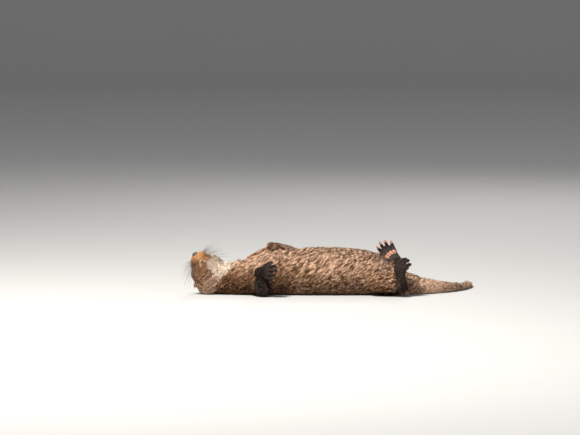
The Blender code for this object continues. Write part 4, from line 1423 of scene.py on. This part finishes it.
def coat_tree():
    """Sets tufts on a skin: they follow its lie, length, girth and lift, and keep its markings."""
    tree = bpy.data.node_groups.new("Coat", "GeometryNodeTree")
    face = tree.interface
    face.new_socket(name="Geometry", in_out="INPUT", socket_type="NodeSocketGeometry")
    for name in ("Length", "Girth", "Spacing", "Lift", "Disorder", "Patch"):
        face.new_socket(name=name, in_out="INPUT", socket_type="NodeSocketFloat")
    face.new_socket(name="Seed", in_out="INPUT", socket_type="NodeSocketInt")
    for name in TUFTS:
        face.new_socket(name=name, in_out="INPUT", socket_type="NodeSocketObject")
    face.new_socket(name="Material", in_out="INPUT", socket_type="NodeSocketMaterial")
    face.new_socket(name="Geometry", in_out="OUTPUT", socket_type="NodeSocketGeometry")
    nodes = Nodes(tree)
    given = nodes.add("NodeGroupInput").outputs
    out = nodes.add("NodeGroupOutput")
    tint_seed, stray_seed, length_seed, girth_seed, pick_seed = (
        nodes.math("ADD", given["Seed"], float(i)) for i in range(1, 6)
    )

    scatter = nodes.add("GeometryNodeDistributePointsOnFaces", distribute_method="POISSON")
    nodes.link(given["Geometry"], scatter.inputs["Mesh"])
    nodes.link(nodes.times(given["Spacing"], TUFT_GAP), scatter.inputs["Distance Min"])
    square = nodes.times(given["Spacing"], given["Spacing"])
    nodes.link(nodes.math("DIVIDE", TUFT_CROWD, square), scatter.inputs["Density Max"])
    nodes.link(named(nodes, "thick"), scatter.inputs["Density Factor"])
    nodes.link(given["Seed"], scatter.inputs["Seed"])
    tint = random_value(nodes, "FLOAT", 0.0, 1.0, tint_seed)
    roots = stored(nodes, scatter.outputs["Points"], "tint", tint, "FLOAT", "POINT")

    normal = scatter.outputs["Normal"]
    raised = scaled(nodes, normal, nodes.times(given["Lift"], named(nodes, "lift")))
    stray = random_value(nodes, "FLOAT_VECTOR", (-1, -1, -1), (1, 1, 1), stray_seed)
    stray = scaled(nodes, stray, given["Disorder"])
    turn = nodes.add("FunctionNodeAxesToRotation", primary_axis="X", secondary_axis="Z")
    direction = vector_sum(nodes, named(nodes, "lie", "FLOAT_VECTOR"), raised, stray)
    nodes.link(direction, turn.inputs["Primary Axis"])
    nodes.link(normal, turn.inputs["Secondary Axis"])

    length = nodes.times(given["Length"], named(nodes, "size"))
    length = nodes.times(length, random_value(nodes, "FLOAT", 0.72, 1.15, length_seed))
    girth = nodes.times(given["Girth"], named(nodes, "width"))
    girth = nodes.times(girth, random_value(nodes, "FLOAT", 0.75, 1.2, girth_seed))
    scale = nodes.add("ShaderNodeCombineXYZ")
    for value, socket in zip((length, girth, girth), scale.inputs):
        nodes.link(value, socket)

    tufts = nodes.add("GeometryNodeJoinGeometry")
    for name in reversed(TUFTS):
        info = nodes.add("GeometryNodeObjectInfo")
        info.inputs["As Instance"].default_value = True
        nodes.link(given[name], info.inputs["Object"])
        nodes.link(info.outputs["Geometry"], tufts.inputs["Geometry"])
    place = nodes.add("GeometryNodeInstanceOnPoints")
    nodes.link(roots, place.inputs["Points"])
    nodes.link(tufts.outputs["Geometry"], place.inputs["Instance"])
    place.inputs["Pick Instance"].default_value = True
    nodes.link(random_value(nodes, "INT", 0, len(TUFTS) - 1, pick_seed), place.inputs["Instance Index"])
    nodes.link(turn.outputs["Rotation"], place.inputs["Rotation"])
    nodes.link(scale.outputs["Vector"], place.inputs["Scale"])

    real = nodes.add("GeometryNodeRealizeInstances")
    nodes.link(place.outputs["Instances"], real.inputs["Geometry"])
    patch = scaled(nodes, named(nodes, "patch", "FLOAT_VECTOR"), given["Patch"])
    spot = vector_sum(nodes, named(nodes, "unwrap", "FLOAT_VECTOR"), patch)
    coat = stored(nodes, real.outputs["Geometry"], "OFBake", spot, "FLOAT2", "CORNER")
    dress = nodes.add("GeometryNodeSetMaterial")
    nodes.link(coat, dress.inputs["Geometry"])
    nodes.link(given["Material"], dress.inputs["Material"])
    nodes.link(dress.outputs["Geometry"], out.inputs["Geometry"])
    return tree


def set_input(modifier, tree, name, value):
    """Gives one of the coat's inputs a value."""
    socket = next(s for s in tree.interface.items_tree if s.name == name and s.in_out == "INPUT")
    modifier[socket.identifier] = value


# ---------------------------------------------------------------- operators
class OTTER_OT_skin(bpy.types.Operator):
    """Makes the skin that lies under the coat, with its folds and markings"""

    bl_idname = "otter.skin"
    bl_label = "Skin"

    def execute(self, context):
        mesh, rim = skin_mesh()
        marked(mesh, rim)
        mesh.shade_smooth()
        skin = new_object("skin", mesh)
        limbs = [node for names in SEGMENTS.values() for node in names]
        finished(skin, skin_material(), "fur", *FLESH, *limbs)
        return {"FINISHED"}


class Region:
    """A piece of the coat: the groups of bars it grows on, its span, and its sizes against the body's.

    The span is one of x, or on the head of the distance behind the nose.
    """

    def __init__(self, groups, spacing, length, girth, lift, low=-1.0, high=1.0, short=False, ears=False):
        self.groups = groups
        self.spacing = spacing
        self.length = length
        self.girth = girth
        self.lift = lift
        self.low = low
        self.high = high
        self.short = short
        self.ears = ears


EAR_REACH = 0.021
FACE_END = 0.064
EAR_ON_HEAD = 0.027  # what is nearer to an ear than this is never the neck's
# Each piece: where it grows, then its spacing, length, girth and lift.
COAT_PIECES = {
    "coat_face": Region(("head",), 0.42, 0.26, 0.36, 0.60, low=-0.001, high=FACE_END, short=True),
    "coat_head": Region(("head",), 0.80, 0.62, 0.72, 0.90, low=FACE_END, high=0.3),
    "coat_ears": Region(("head",), 0.40, 0.30, 0.40, 0.70, short=True, ears=True),
    "coat_neck": Region(("neck",), 0.95, 0.88, 0.95, 1.0),
    "coat_chest": Region(("trunk",), 1.0, 0.95, 1.0, 1.0, high=-0.115),
    "coat_ribs": Region(("trunk",), 1.0, 1.0, 1.0, 1.0, low=-0.115, high=-0.005),
    "coat_belly": Region(("trunk",), 1.0, 1.0, 1.0, 1.0, low=-0.005, high=0.110),
    "coat_loin": Region(("trunk",), 1.0, 1.0, 1.0, 1.0, low=0.110, high=0.215),
    "coat_rump": Region(("trunk",), 1.0, 1.0, 1.0, 1.1, low=0.215),
    "coat_tail": Region(("tail",), 0.95, 1.05, 0.95, 1.3),
    "coat_forelimbs": Region(("fore_right", "fore_left"), 0.90, 0.62, 0.80, 0.9),
    "coat_hind_limbs": Region(("hind_right", "hind_left"), 0.95, 0.72, 0.88, 0.9),
    "coat_forepaws": Region(("foot_fore_right", "foot_fore_left"), 0.44, 0.20, 0.36, 0.5, short=True),
    "coat_hind_feet": Region(("foot_hind_right", "foot_hind_left"), 0.46, 0.22, 0.38, 0.5, short=True),
}
PATCH = 0.003  # size of one tuft's patch in the coat's unwrapping


def coat_source(skin, distances, region):
    """A copy of the skin that says where this piece's tufts stand, how long, and how they unwrap."""
    points, normals = points_of(skin.data)
    bare = np.empty(len(points))
    skin.data.attributes["bare"].data.foreach_get("value", bare)
    names = list(distances)
    nearest = np.argmin(np.stack([distances[name] for name in names]), axis=0)
    chosen = np.isin(nearest, [names.index(name) for name in region.groups])
    back, _, _ = place_on_head(points)
    run = back if region.groups == ("head",) else points[:, 0]
    chosen &= (run >= region.low) & (run < region.high)
    chosen &= (ear_distance(points) < EAR_REACH) == region.ears
    thick = chosen * ramp(points[:, 2], 0.0010, 0.0045) * (1 - ramp(bare, 0.10, 0.45))
    size = np.ones(len(points))
    if region.groups == ("head",):
        muzzle = ramp(nose_distance(points), 0.012, 0.066)
        size = np.where(back < FACE_END, 0.42 + 0.83 * muzzle, 0.50 + 0.50 * ramp(back, 0.055, 0.105))
        size *= 1.0 if region.ears else 0.45 + 0.55 * ramp(ear_distance(points), EAR_REACH, EAR_REACH + 0.012)
        away = eye_distance(points)
        thick *= 0.25 + 0.75 * ramp(away, 0.0066, 0.0085)
        size *= 0.45 + 0.55 * ramp(away, 0.0075, 0.0130)
    for name in FEET:
        group = f"foot_{name}"
        if group in region.groups:
            place = foot_frame(name)
            facing = normals @ np.array(place.to_3x3() @ Vector((0, 0, 1)))
            out = in_frame(place, points)[:, 0]
            near = distances[group] <= 0.012
            thick = np.where(near, thick * ramp(facing, -0.40, 0.10), thick)
            size = np.where(near, 1.9 - 1.25 * ramp(out, -0.012, 0.045), size)
    mesh = skin.data.copy()
    store(mesh, "thick", thick)
    store(mesh, "size", size * region.length)
    store(mesh, "width", (0.35 + 0.65 * size) * region.girth)
    store(mesh, "lift", np.full(len(points), region.lift))
    store(mesh, "unwrap", unwrapped(points, region.groups))
    return mesh


def unwrapped(points, groups):
    """Each root's place on the skin rolled out: run along the bars, and turn round them."""
    bars = [bar for bar in bones() if bar[0] in groups]
    best = np.full(len(points), 9.0)
    place = np.zeros((len(points), 3))
    for number, (_, a, b, radius_a, radius_b, _) in enumerate(bars):
        reach, share = capsule(points, a, b, radius_a, radius_b)
        run = (Vector(b) - Vector(a)).normalized()
        side = run.cross(Vector((0, 0, 1))).normalized()
        up = side.cross(run)
        away = points - np.array(a)
        angle = np.arctan2(away @ np.array(side), away @ np.array(up))
        closer = reach < best
        best = np.where(closer, reach, best)
        place[closer, 0] = (number + share[closer]) / len(bars)
        place[closer, 1] = 0.5 + angle[closer] / (2 * math.pi)
    return place * (1 - PATCH)


class OTTER_OT_coat(bpy.types.Operator):
    """Sets the coat of tufts on the skin, one piece for each part of the body"""

    bl_idname = "otter.coat"
    bl_label = "Coat"

    def execute(self, context):
        settings = context.scene.otter_coat
        skin = bpy.data.objects["skin"]
        points, _ = points_of(skin.data)
        distances, _ = part_map(points)
        distances["head"][ear_distance(points) < EAR_ON_HEAD] = -1
        tufts = {}
        for short, blades in ((False, LONG_BLADES), (True, SHORT_BLADES)):
            names = [f"tuft_{blades}_{n}" for n in (1, 2, 3)]
            tufts[short] = [new_object(name, tuft_mesh(name, n, blades)) for n, name in enumerate(names)]
        tree = coat_tree()
        material = coat_material()
        for number, (piece, region) in enumerate(COAT_PIECES.items()):
            source = new_object("source", coat_source(skin, distances, region))
            modifier = source.modifiers.new("coat", "NODES")
            modifier.node_group = tree
            values = {
                "Length": settings.length,
                "Girth": settings.girth,
                "Spacing": settings.spacing * region.spacing * coarser(),
                "Lift": settings.lift,
                "Disorder": settings.disorder,
                "Patch": PATCH,
                "Seed": settings.seed + 10 * number,
                "Material": material,
            }
            values.update(zip(TUFTS, tufts[region.short]))
            for name, value in values.items():
                set_input(modifier, tree, name, value)
            graph = context.evaluated_depsgraph_get()
            made = bpy.data.meshes.new_from_object(source.evaluated_get(graph))
            bpy.data.objects.remove(source)
            settle(made)
            finished(new_object(piece, made), material, "fur")
        for tuft in (*tufts[False], *tufts[True]):
            bpy.data.objects.remove(tuft)
        return {"FINISHED"}


FLOOR_CLEAR, FLOOR_PRESS = 0.0003, 0.0004  # height of pressed tufts, and how much it varies
KEPT_ATTRIBUTES = ("cream", "lip", "glow", "foot", "fair", "low", "face", "tint", "shade", "along", "OFBake")


def settle(mesh):
    """Presses tufts that would pass under the floor flat on it, and drops what only placed them."""
    places, _ = points_of(mesh)
    sunk = places[:, 2] < FLOOR_CLEAR
    places[sunk, 2] = FLOOR_CLEAR + FLOOR_PRESS * np.abs(np.sin(places[sunk, 0] * 9000))
    put_points(mesh, places)
    for name in [a.name for a in mesh.attributes]:
        layer = mesh.attributes.get(name)
        if layer and not layer.is_required and name not in KEPT_ATTRIBUTES and not name.startswith("sharp"):
            mesh.attributes.remove(layer)


class OTTER_OT_eyes(bpy.types.Operator):
    """Makes the eyeballs, which show through the slits of the lids"""

    bl_idname = "otter.eyes"
    bl_label = "Eyes"

    def execute(self, context):
        place = head_frame()
        glass = eye_material()
        for side, name in ((1, "left"), (-1, "right")):
            mesh = ball(place, Vector((-EYE_BACK, side * EYE_OUT, EYE_UP)), (EYE_RADIUS,) * 3, 40)
            mesh.shade_smooth()
            finished(new_object(f"eyeball_{name}", mesh), glass, "eye", f"eye_{name}")
        return {"FINISHED"}


def nose_mesh():
    """A rounded pad with two comma-shaped nostrils and a groove between them."""
    mesh = ball(head_frame(), Vector((-NOSE_BACK, 0, NOSE_UP)), NOSE_SIZE, 96)
    points, normals = points_of(mesh)
    local = in_frame(head_frame(), points) - np.array((-NOSE_BACK, 0, NOSE_UP))
    x, y, z = (local / np.array(NOSE_SIZE)).T
    y = np.abs(y)
    front = ramp(x, 0.05, 0.45)
    pit = bump(np.hypot((y - 0.46) / 0.22, (z + 0.02 + 0.5 * (y - 0.46)) / 0.28), 0.80)
    comma = bump(np.hypot((y - 0.74) / 0.26, (z + 0.22) / 0.12), 0.90)
    move = -0.0034 * np.maximum(pit, 0.8 * comma) * front
    move -= 0.0009 * bump(y, 0.055) * ramp(z, 0.30, 0.0) * front
    move += 0.0005 * bump(y - 0.25, 0.20) * ramp(z, -0.1, 0.5) * front
    put_points(mesh, points + normals * move[:, None])
    return mesh


class OTTER_OT_nose(bpy.types.Operator):
    """Makes the nose pad with its nostrils and groove"""

    bl_idname = "otter.nose"
    bl_label = "Nose"

    def execute(self, context):
        mesh = nose_mesh()
        mesh.shade_smooth()
        finished(new_object("nose_pad", mesh), nose_material(), "nose", "nose")
        return {"FINISHED"}


WHISKER_BOW, WHISKER_TAPER = 0.30, 0.88
WHISKER_SIDES, WHISKER_STEPS = 5, 9
LIP_ROWS, LIP_COLUMNS = 4, 6
LIP_HAIR, BROW_HAIR, CHIN_HAIR = 0.00060, 0.00028, 0.00026  # radii at the root
BROW_LENGTH, CHIN_LENGTH = 0.030, 0.016
ROOM_AHEAD, ROOM_ABOVE = 0.028, 0.009  # how far a whisker may pass the solids' box


def outside_room(tip):
    """Whether a whisker's tip would stand too far out of the solids' box, or reach the floor."""
    low, high = CAD_BOX
    return tip.x < low[0] - ROOM_AHEAD or tip.z > high[2] + ROOM_ABOVE or tip.z < 0.002


def whisker(bm, along, root, direction, bend, length, radius):
    """A tapering hair that bows towards bend, as a thin closed tube."""
    rings = []
    before = root
    for step in range(WHISKER_STEPS + 1):
        share = step / WHISKER_STEPS
        centre = root + direction * length * share + bend * length * WHISKER_BOW * share * share
        run = (centre - before).normalized() if step else direction.normalized()
        across = run.cross(Vector((0.3, 0.2, 0.9))).normalized()
        rise = across.cross(run)
        size = radius * (1 - WHISKER_TAPER * share)
        rings.append(ring_of(bm, oval(centre, across, rise, size, size, size, WHISKER_SIDES), along, share))
        before = centre
    wall(bm, rings, closed=True)


def lip_whiskers(bm, along, side, rng):
    """Rows of long whiskers over one whisker pad, longer and more swept back to the rear."""
    place = head_frame()
    turn = place.to_3x3()
    for row in range(LIP_ROWS):
        for column in range(LIP_COLUMNS):
            back = 0.011 + 0.0036 * column + 0.0010 * row
            height = 0.0010 - 0.0042 * row
            out = LIP_OUT + 0.0105 - 0.0016 * abs(row - 1.2) ** 1.5 - 0.0004 * (column - 2.5) ** 2
            root = place @ Vector((-back, side * out * 0.92, height))
            flare = 0.15 * column - 0.28 + rng.uniform(-0.08, 0.08)
            droop = 0.10 - 0.17 * row + rng.uniform(-0.08, 0.08)
            direction = turn @ Vector((0.10 - flare, side * (0.95 - 0.03 * column), droop)).normalized()
            bend = turn @ Vector((-0.65, side * 0.10, -0.15))
            length = 0.040 + 0.0060 * column + rng.uniform(-0.004, 0.006)
            while outside_room(root + (direction + bend * WHISKER_BOW) * length):
                length *= 0.97
            whisker(bm, along, root, direction, bend, length, LIP_HAIR)


def brow_whiskers(bm, along, side):
    """Three short whiskers over one eye."""
    place = head_frame()
    turn = place.to_3x3()
    for number in range(3):
        out = EYE_OUT - 0.006 + 0.002 * number
        root = place @ Vector((-EYE_BACK + 0.009, side * out, EYE_UP + 0.0065))
        direction = turn @ Vector((-0.45, side * (0.25 + 0.1 * number), 0.75)).normalized()
        whisker(bm, along, root, direction, turn @ Vector((-0.6, 0, -0.1)), BROW_LENGTH, BROW_HAIR)


def chin_whiskers(bm, along, side):
    """Four short whiskers along one side of the chin."""
    place = head_frame()
    turn = place.to_3x3()
    for number in range(4):
        root = place @ Vector((-CHIN_BACK - 0.004 * number, side * 0.006, -CHIN_DEPTH - 0.0055))
        direction = turn @ Vector((-0.55, side * 0.55, -0.60)).normalized()
        whisker(bm, along, root, direction, turn @ Vector((-0.5, 0, 0)), CHIN_LENGTH, CHIN_HAIR)


class OTTER_OT_whiskers(bpy.types.Operator):
    """Makes the whiskers of the lips, brows and chin"""

    bl_idname = "otter.whiskers"
    bl_label = "Whiskers"

    def execute(self, context):
        rng = np.random.default_rng(context.scene.otter_coat.seed)
        material = whisker_material()
        for side, name in ((1, "left"), (-1, "right")):
            bm = bmesh.new()
            along = bm.verts.layers.float.new("along")
            lip_whiskers(bm, along, side, rng)
            brow_whiskers(bm, along, side)
            chin_whiskers(bm, along, side)
            mesh = mesh_from(bm, "whiskers", turned=True)
            mesh.shade_smooth()
            finished(new_object(f"whiskers_{name}", mesh), material, "fur")
        return {"FINISHED"}


CLAW_SIDES = 10


def claw_loft(bm, layer, place, foot, joints):
    """A curved horn claw whose root is sunk in the top of the toe's tip."""
    tip, radius = joints[-1]
    along = (tip - joints[-2][0]).normalized()
    over = Vector((-along.z, 0, along.x)).normalized()
    across = over.cross(along).normalized()
    rings = []
    for share, size in between(CLAW_SECTIONS, CLAW_LOFT_STEPS):
        drop = over * radius * (0.42 - 0.75 * share * share)
        centre = tip + drop + along * foot.claw_length * (share - 0.15)
        points = oval(centre, across, over, size * 0.95, size * 1.2, size * 1.1, CLAW_SIDES)
        rings.append(ring_of(bm, [place @ point for point in points], layer, share))
    wall(bm, rings, closed=True)


class OTTER_OT_claws(bpy.types.Operator):
    """Makes the horn claws of each foot"""

    bl_idname = "otter.claws"
    bl_label = "Claws"

    def execute(self, context):
        material = horn_material()
        for name in FEET:
            bm = bmesh.new()
            layer = bm.verts.layers.float.new("along")
            for joints in foot_toes(name):
                claw_loft(bm, layer, foot_frame(name), FEET[name][0], joints)
            mesh = mesh_from(bm, "claws", turned=True)
            mesh.shade_smooth()
            nodes = [f"claw_{name}_{number}" for number in range(1, 6)]
            finished(new_object(f"claws_{name}", mesh), material, "claw", *nodes)
        return {"FINISHED"}


# ---------------------------------------------------------------- stage
FLOOR_SIDES, SWEEP, SWEEP_STEPS, BACKDROP = 96, 4.0, 12, 5.0
LIGHTS = (  # name, place from the animal's middle, size, power, colour
    ("key", (-1.5, -2.0, 3.4), 0.8, 430, (1.0, 0.965, 0.91)),
    ("fill", (2.8, -3.4, 1.6), 2.4, 40, (0.93, 0.96, 1.0)),
    ("back", (1.0, 3.6, 2.6), 2.0, 60, (1.0, 0.98, 0.95)),
)
SKY, SKY_STRENGTH = (0.93, 0.95, 1.0, 1), 0.50
VIEW_MIDDLE = Vector((-0.045, 0, 0.2405))
SENSOR_WIDTH, FAR_CLIP = 36, 100


def floor_mesh(radius):
    """A round floor that sweeps up into a backdrop on every side."""
    profile = [(radius * 0.5, 0.0), (radius, 0.0)]
    for step in range(1, SWEEP_STEPS + 1):
        turn = math.radians(90 * step / SWEEP_STEPS)
        profile.append((radius + SWEEP * math.sin(turn), SWEEP * (1 - math.cos(turn))))
    profile.append((radius + SWEEP, SWEEP + BACKDROP))
    turns = [2 * math.pi * i / FLOOR_SIDES for i in range(FLOOR_SIDES)]
    bm = bmesh.new()
    middle = bm.verts.new((0, 0, 0))
    rings = []
    for reach, height in profile:
        rings.append([bm.verts.new((reach * math.cos(t), reach * math.sin(t), height)) for t in turns])
    for i in range(FLOOR_SIDES):
        j = (i + 1) % FLOOR_SIDES
        bm.faces.new((middle, rings[0][i], rings[0][j]))
        for first, second in zip(rings, rings[1:]):
            bm.faces.new((first[i], second[i], second[j], first[j]))
    mesh = mesh_from(bm, "floor")
    mesh.shade_smooth()
    return mesh


def aimed(obj, place, direction):
    """Puts a light or a camera at a place, facing a direction."""
    obj.location = place
    obj.rotation_euler = direction.to_track_quat("-Z", "Y").to_euler()


def area_light(name, place, target, size, power, tone):
    """A round soft light at a place, facing a target."""
    light = bpy.data.lights.new(name, "AREA")
    light.shape = "DISK"
    light.size = size
    light.energy = power
    light.color = tone
    aimed(new_object(name, light), place, Vector(target) - Vector(place))


class OTTER_OT_stage(bpy.types.Operator):
    """Makes the floor with its backdrop, the lights and the camera"""

    bl_idname = "otter.stage"
    bl_label = "Stage"

    def execute(self, context):
        scene = context.scene
        settings = scene.otter_stage
        floor = new_object("floor", floor_mesh(settings.radius))
        material, nodes, shader = new_material("floor", 0.85)
        pale = tuple(settings.floor)
        blotchy = tuple(0.97 * c for c in pale)
        nodes.link(nodes.mix(nodes.noise(3.0, 2), blotchy, pale), shader.inputs["Base Color"])
        floor.data.materials.append(material)

        world = bpy.data.worlds.new("studio")
        world.use_nodes = True
        sky = world.node_tree.nodes["Background"]
        sky.inputs["Color"].default_value = SKY
        sky.inputs["Strength"].default_value = SKY_STRENGTH
        scene.world = world
        scene.view_settings.view_transform = "Standard"
        low, high = CAD_BOX
        middle = (low + high) / 2
        for name, place, size, power, tone in LIGHTS:
            area_light(name, middle + Vector(place), middle, size, power, tone)

        camera = bpy.data.cameras.new("camera")
        camera.sensor_width = SENSOR_WIDTH
        camera.lens = SENSOR_WIDTH * settings.distance / settings.frame_width
        camera.clip_end = FAR_CLIP
        back = Vector((0, -math.cos(settings.elevation), math.sin(settings.elevation)))
        scene.camera = new_object("camera", camera)
        aimed(scene.camera, VIEW_MIDDLE + back * settings.distance, -back)
        return {"FINISHED"}


class OTTER_PT_panel(bpy.types.Panel):
    """Lists the otter's settings and steps"""

    bl_label = "Sleeping otter"
    bl_idname = "OTTER_PT_panel"
    bl_space_type = "VIEW_3D"
    bl_region_type = "UI"
    bl_category = "Otter"

    def draw(self, context):
        layout = self.layout
        for settings in (context.scene.otter_coat, context.scene.otter_colours, context.scene.otter_stage):
            for name in settings.__annotations__:
                layout.prop(settings, name)
        for step in STEPS:
            layout.operator(step)


STEPS = (
    "otter.skin",
    "otter.coat",
    "otter.eyes",
    "otter.nose",
    "otter.whiskers",
    "otter.claws",
    "otter.stage",
)
SETTINGS = {"otter_coat": OtterCoat, "otter_colours": OtterColours, "otter_stage": OtterStage}
CLASSES = (
    OtterCoat,
    OtterColours,
    OtterStage,
    OTTER_OT_skin,
    OTTER_OT_coat,
    OTTER_OT_eyes,
    OTTER_OT_nose,
    OTTER_OT_whiskers,
    OTTER_OT_claws,
    OTTER_OT_stage,
    OTTER_PT_panel,
)


def register():
    for cls in CLASSES:
        bpy.utils.register_class(cls)
    for name, group in SETTINGS.items():
        setattr(bpy.types.Scene, name, PointerProperty(type=group))


def unregister():
    for name in SETTINGS:
        delattr(bpy.types.Scene, name)
    for cls in reversed(CLASSES):
        bpy.utils.unregister_class(cls)


def main():
    register()
    for step in STEPS:
        group, name = step.split(".")
        getattr(getattr(bpy.ops, group), name)()


if __name__ == "__main__":
    main()
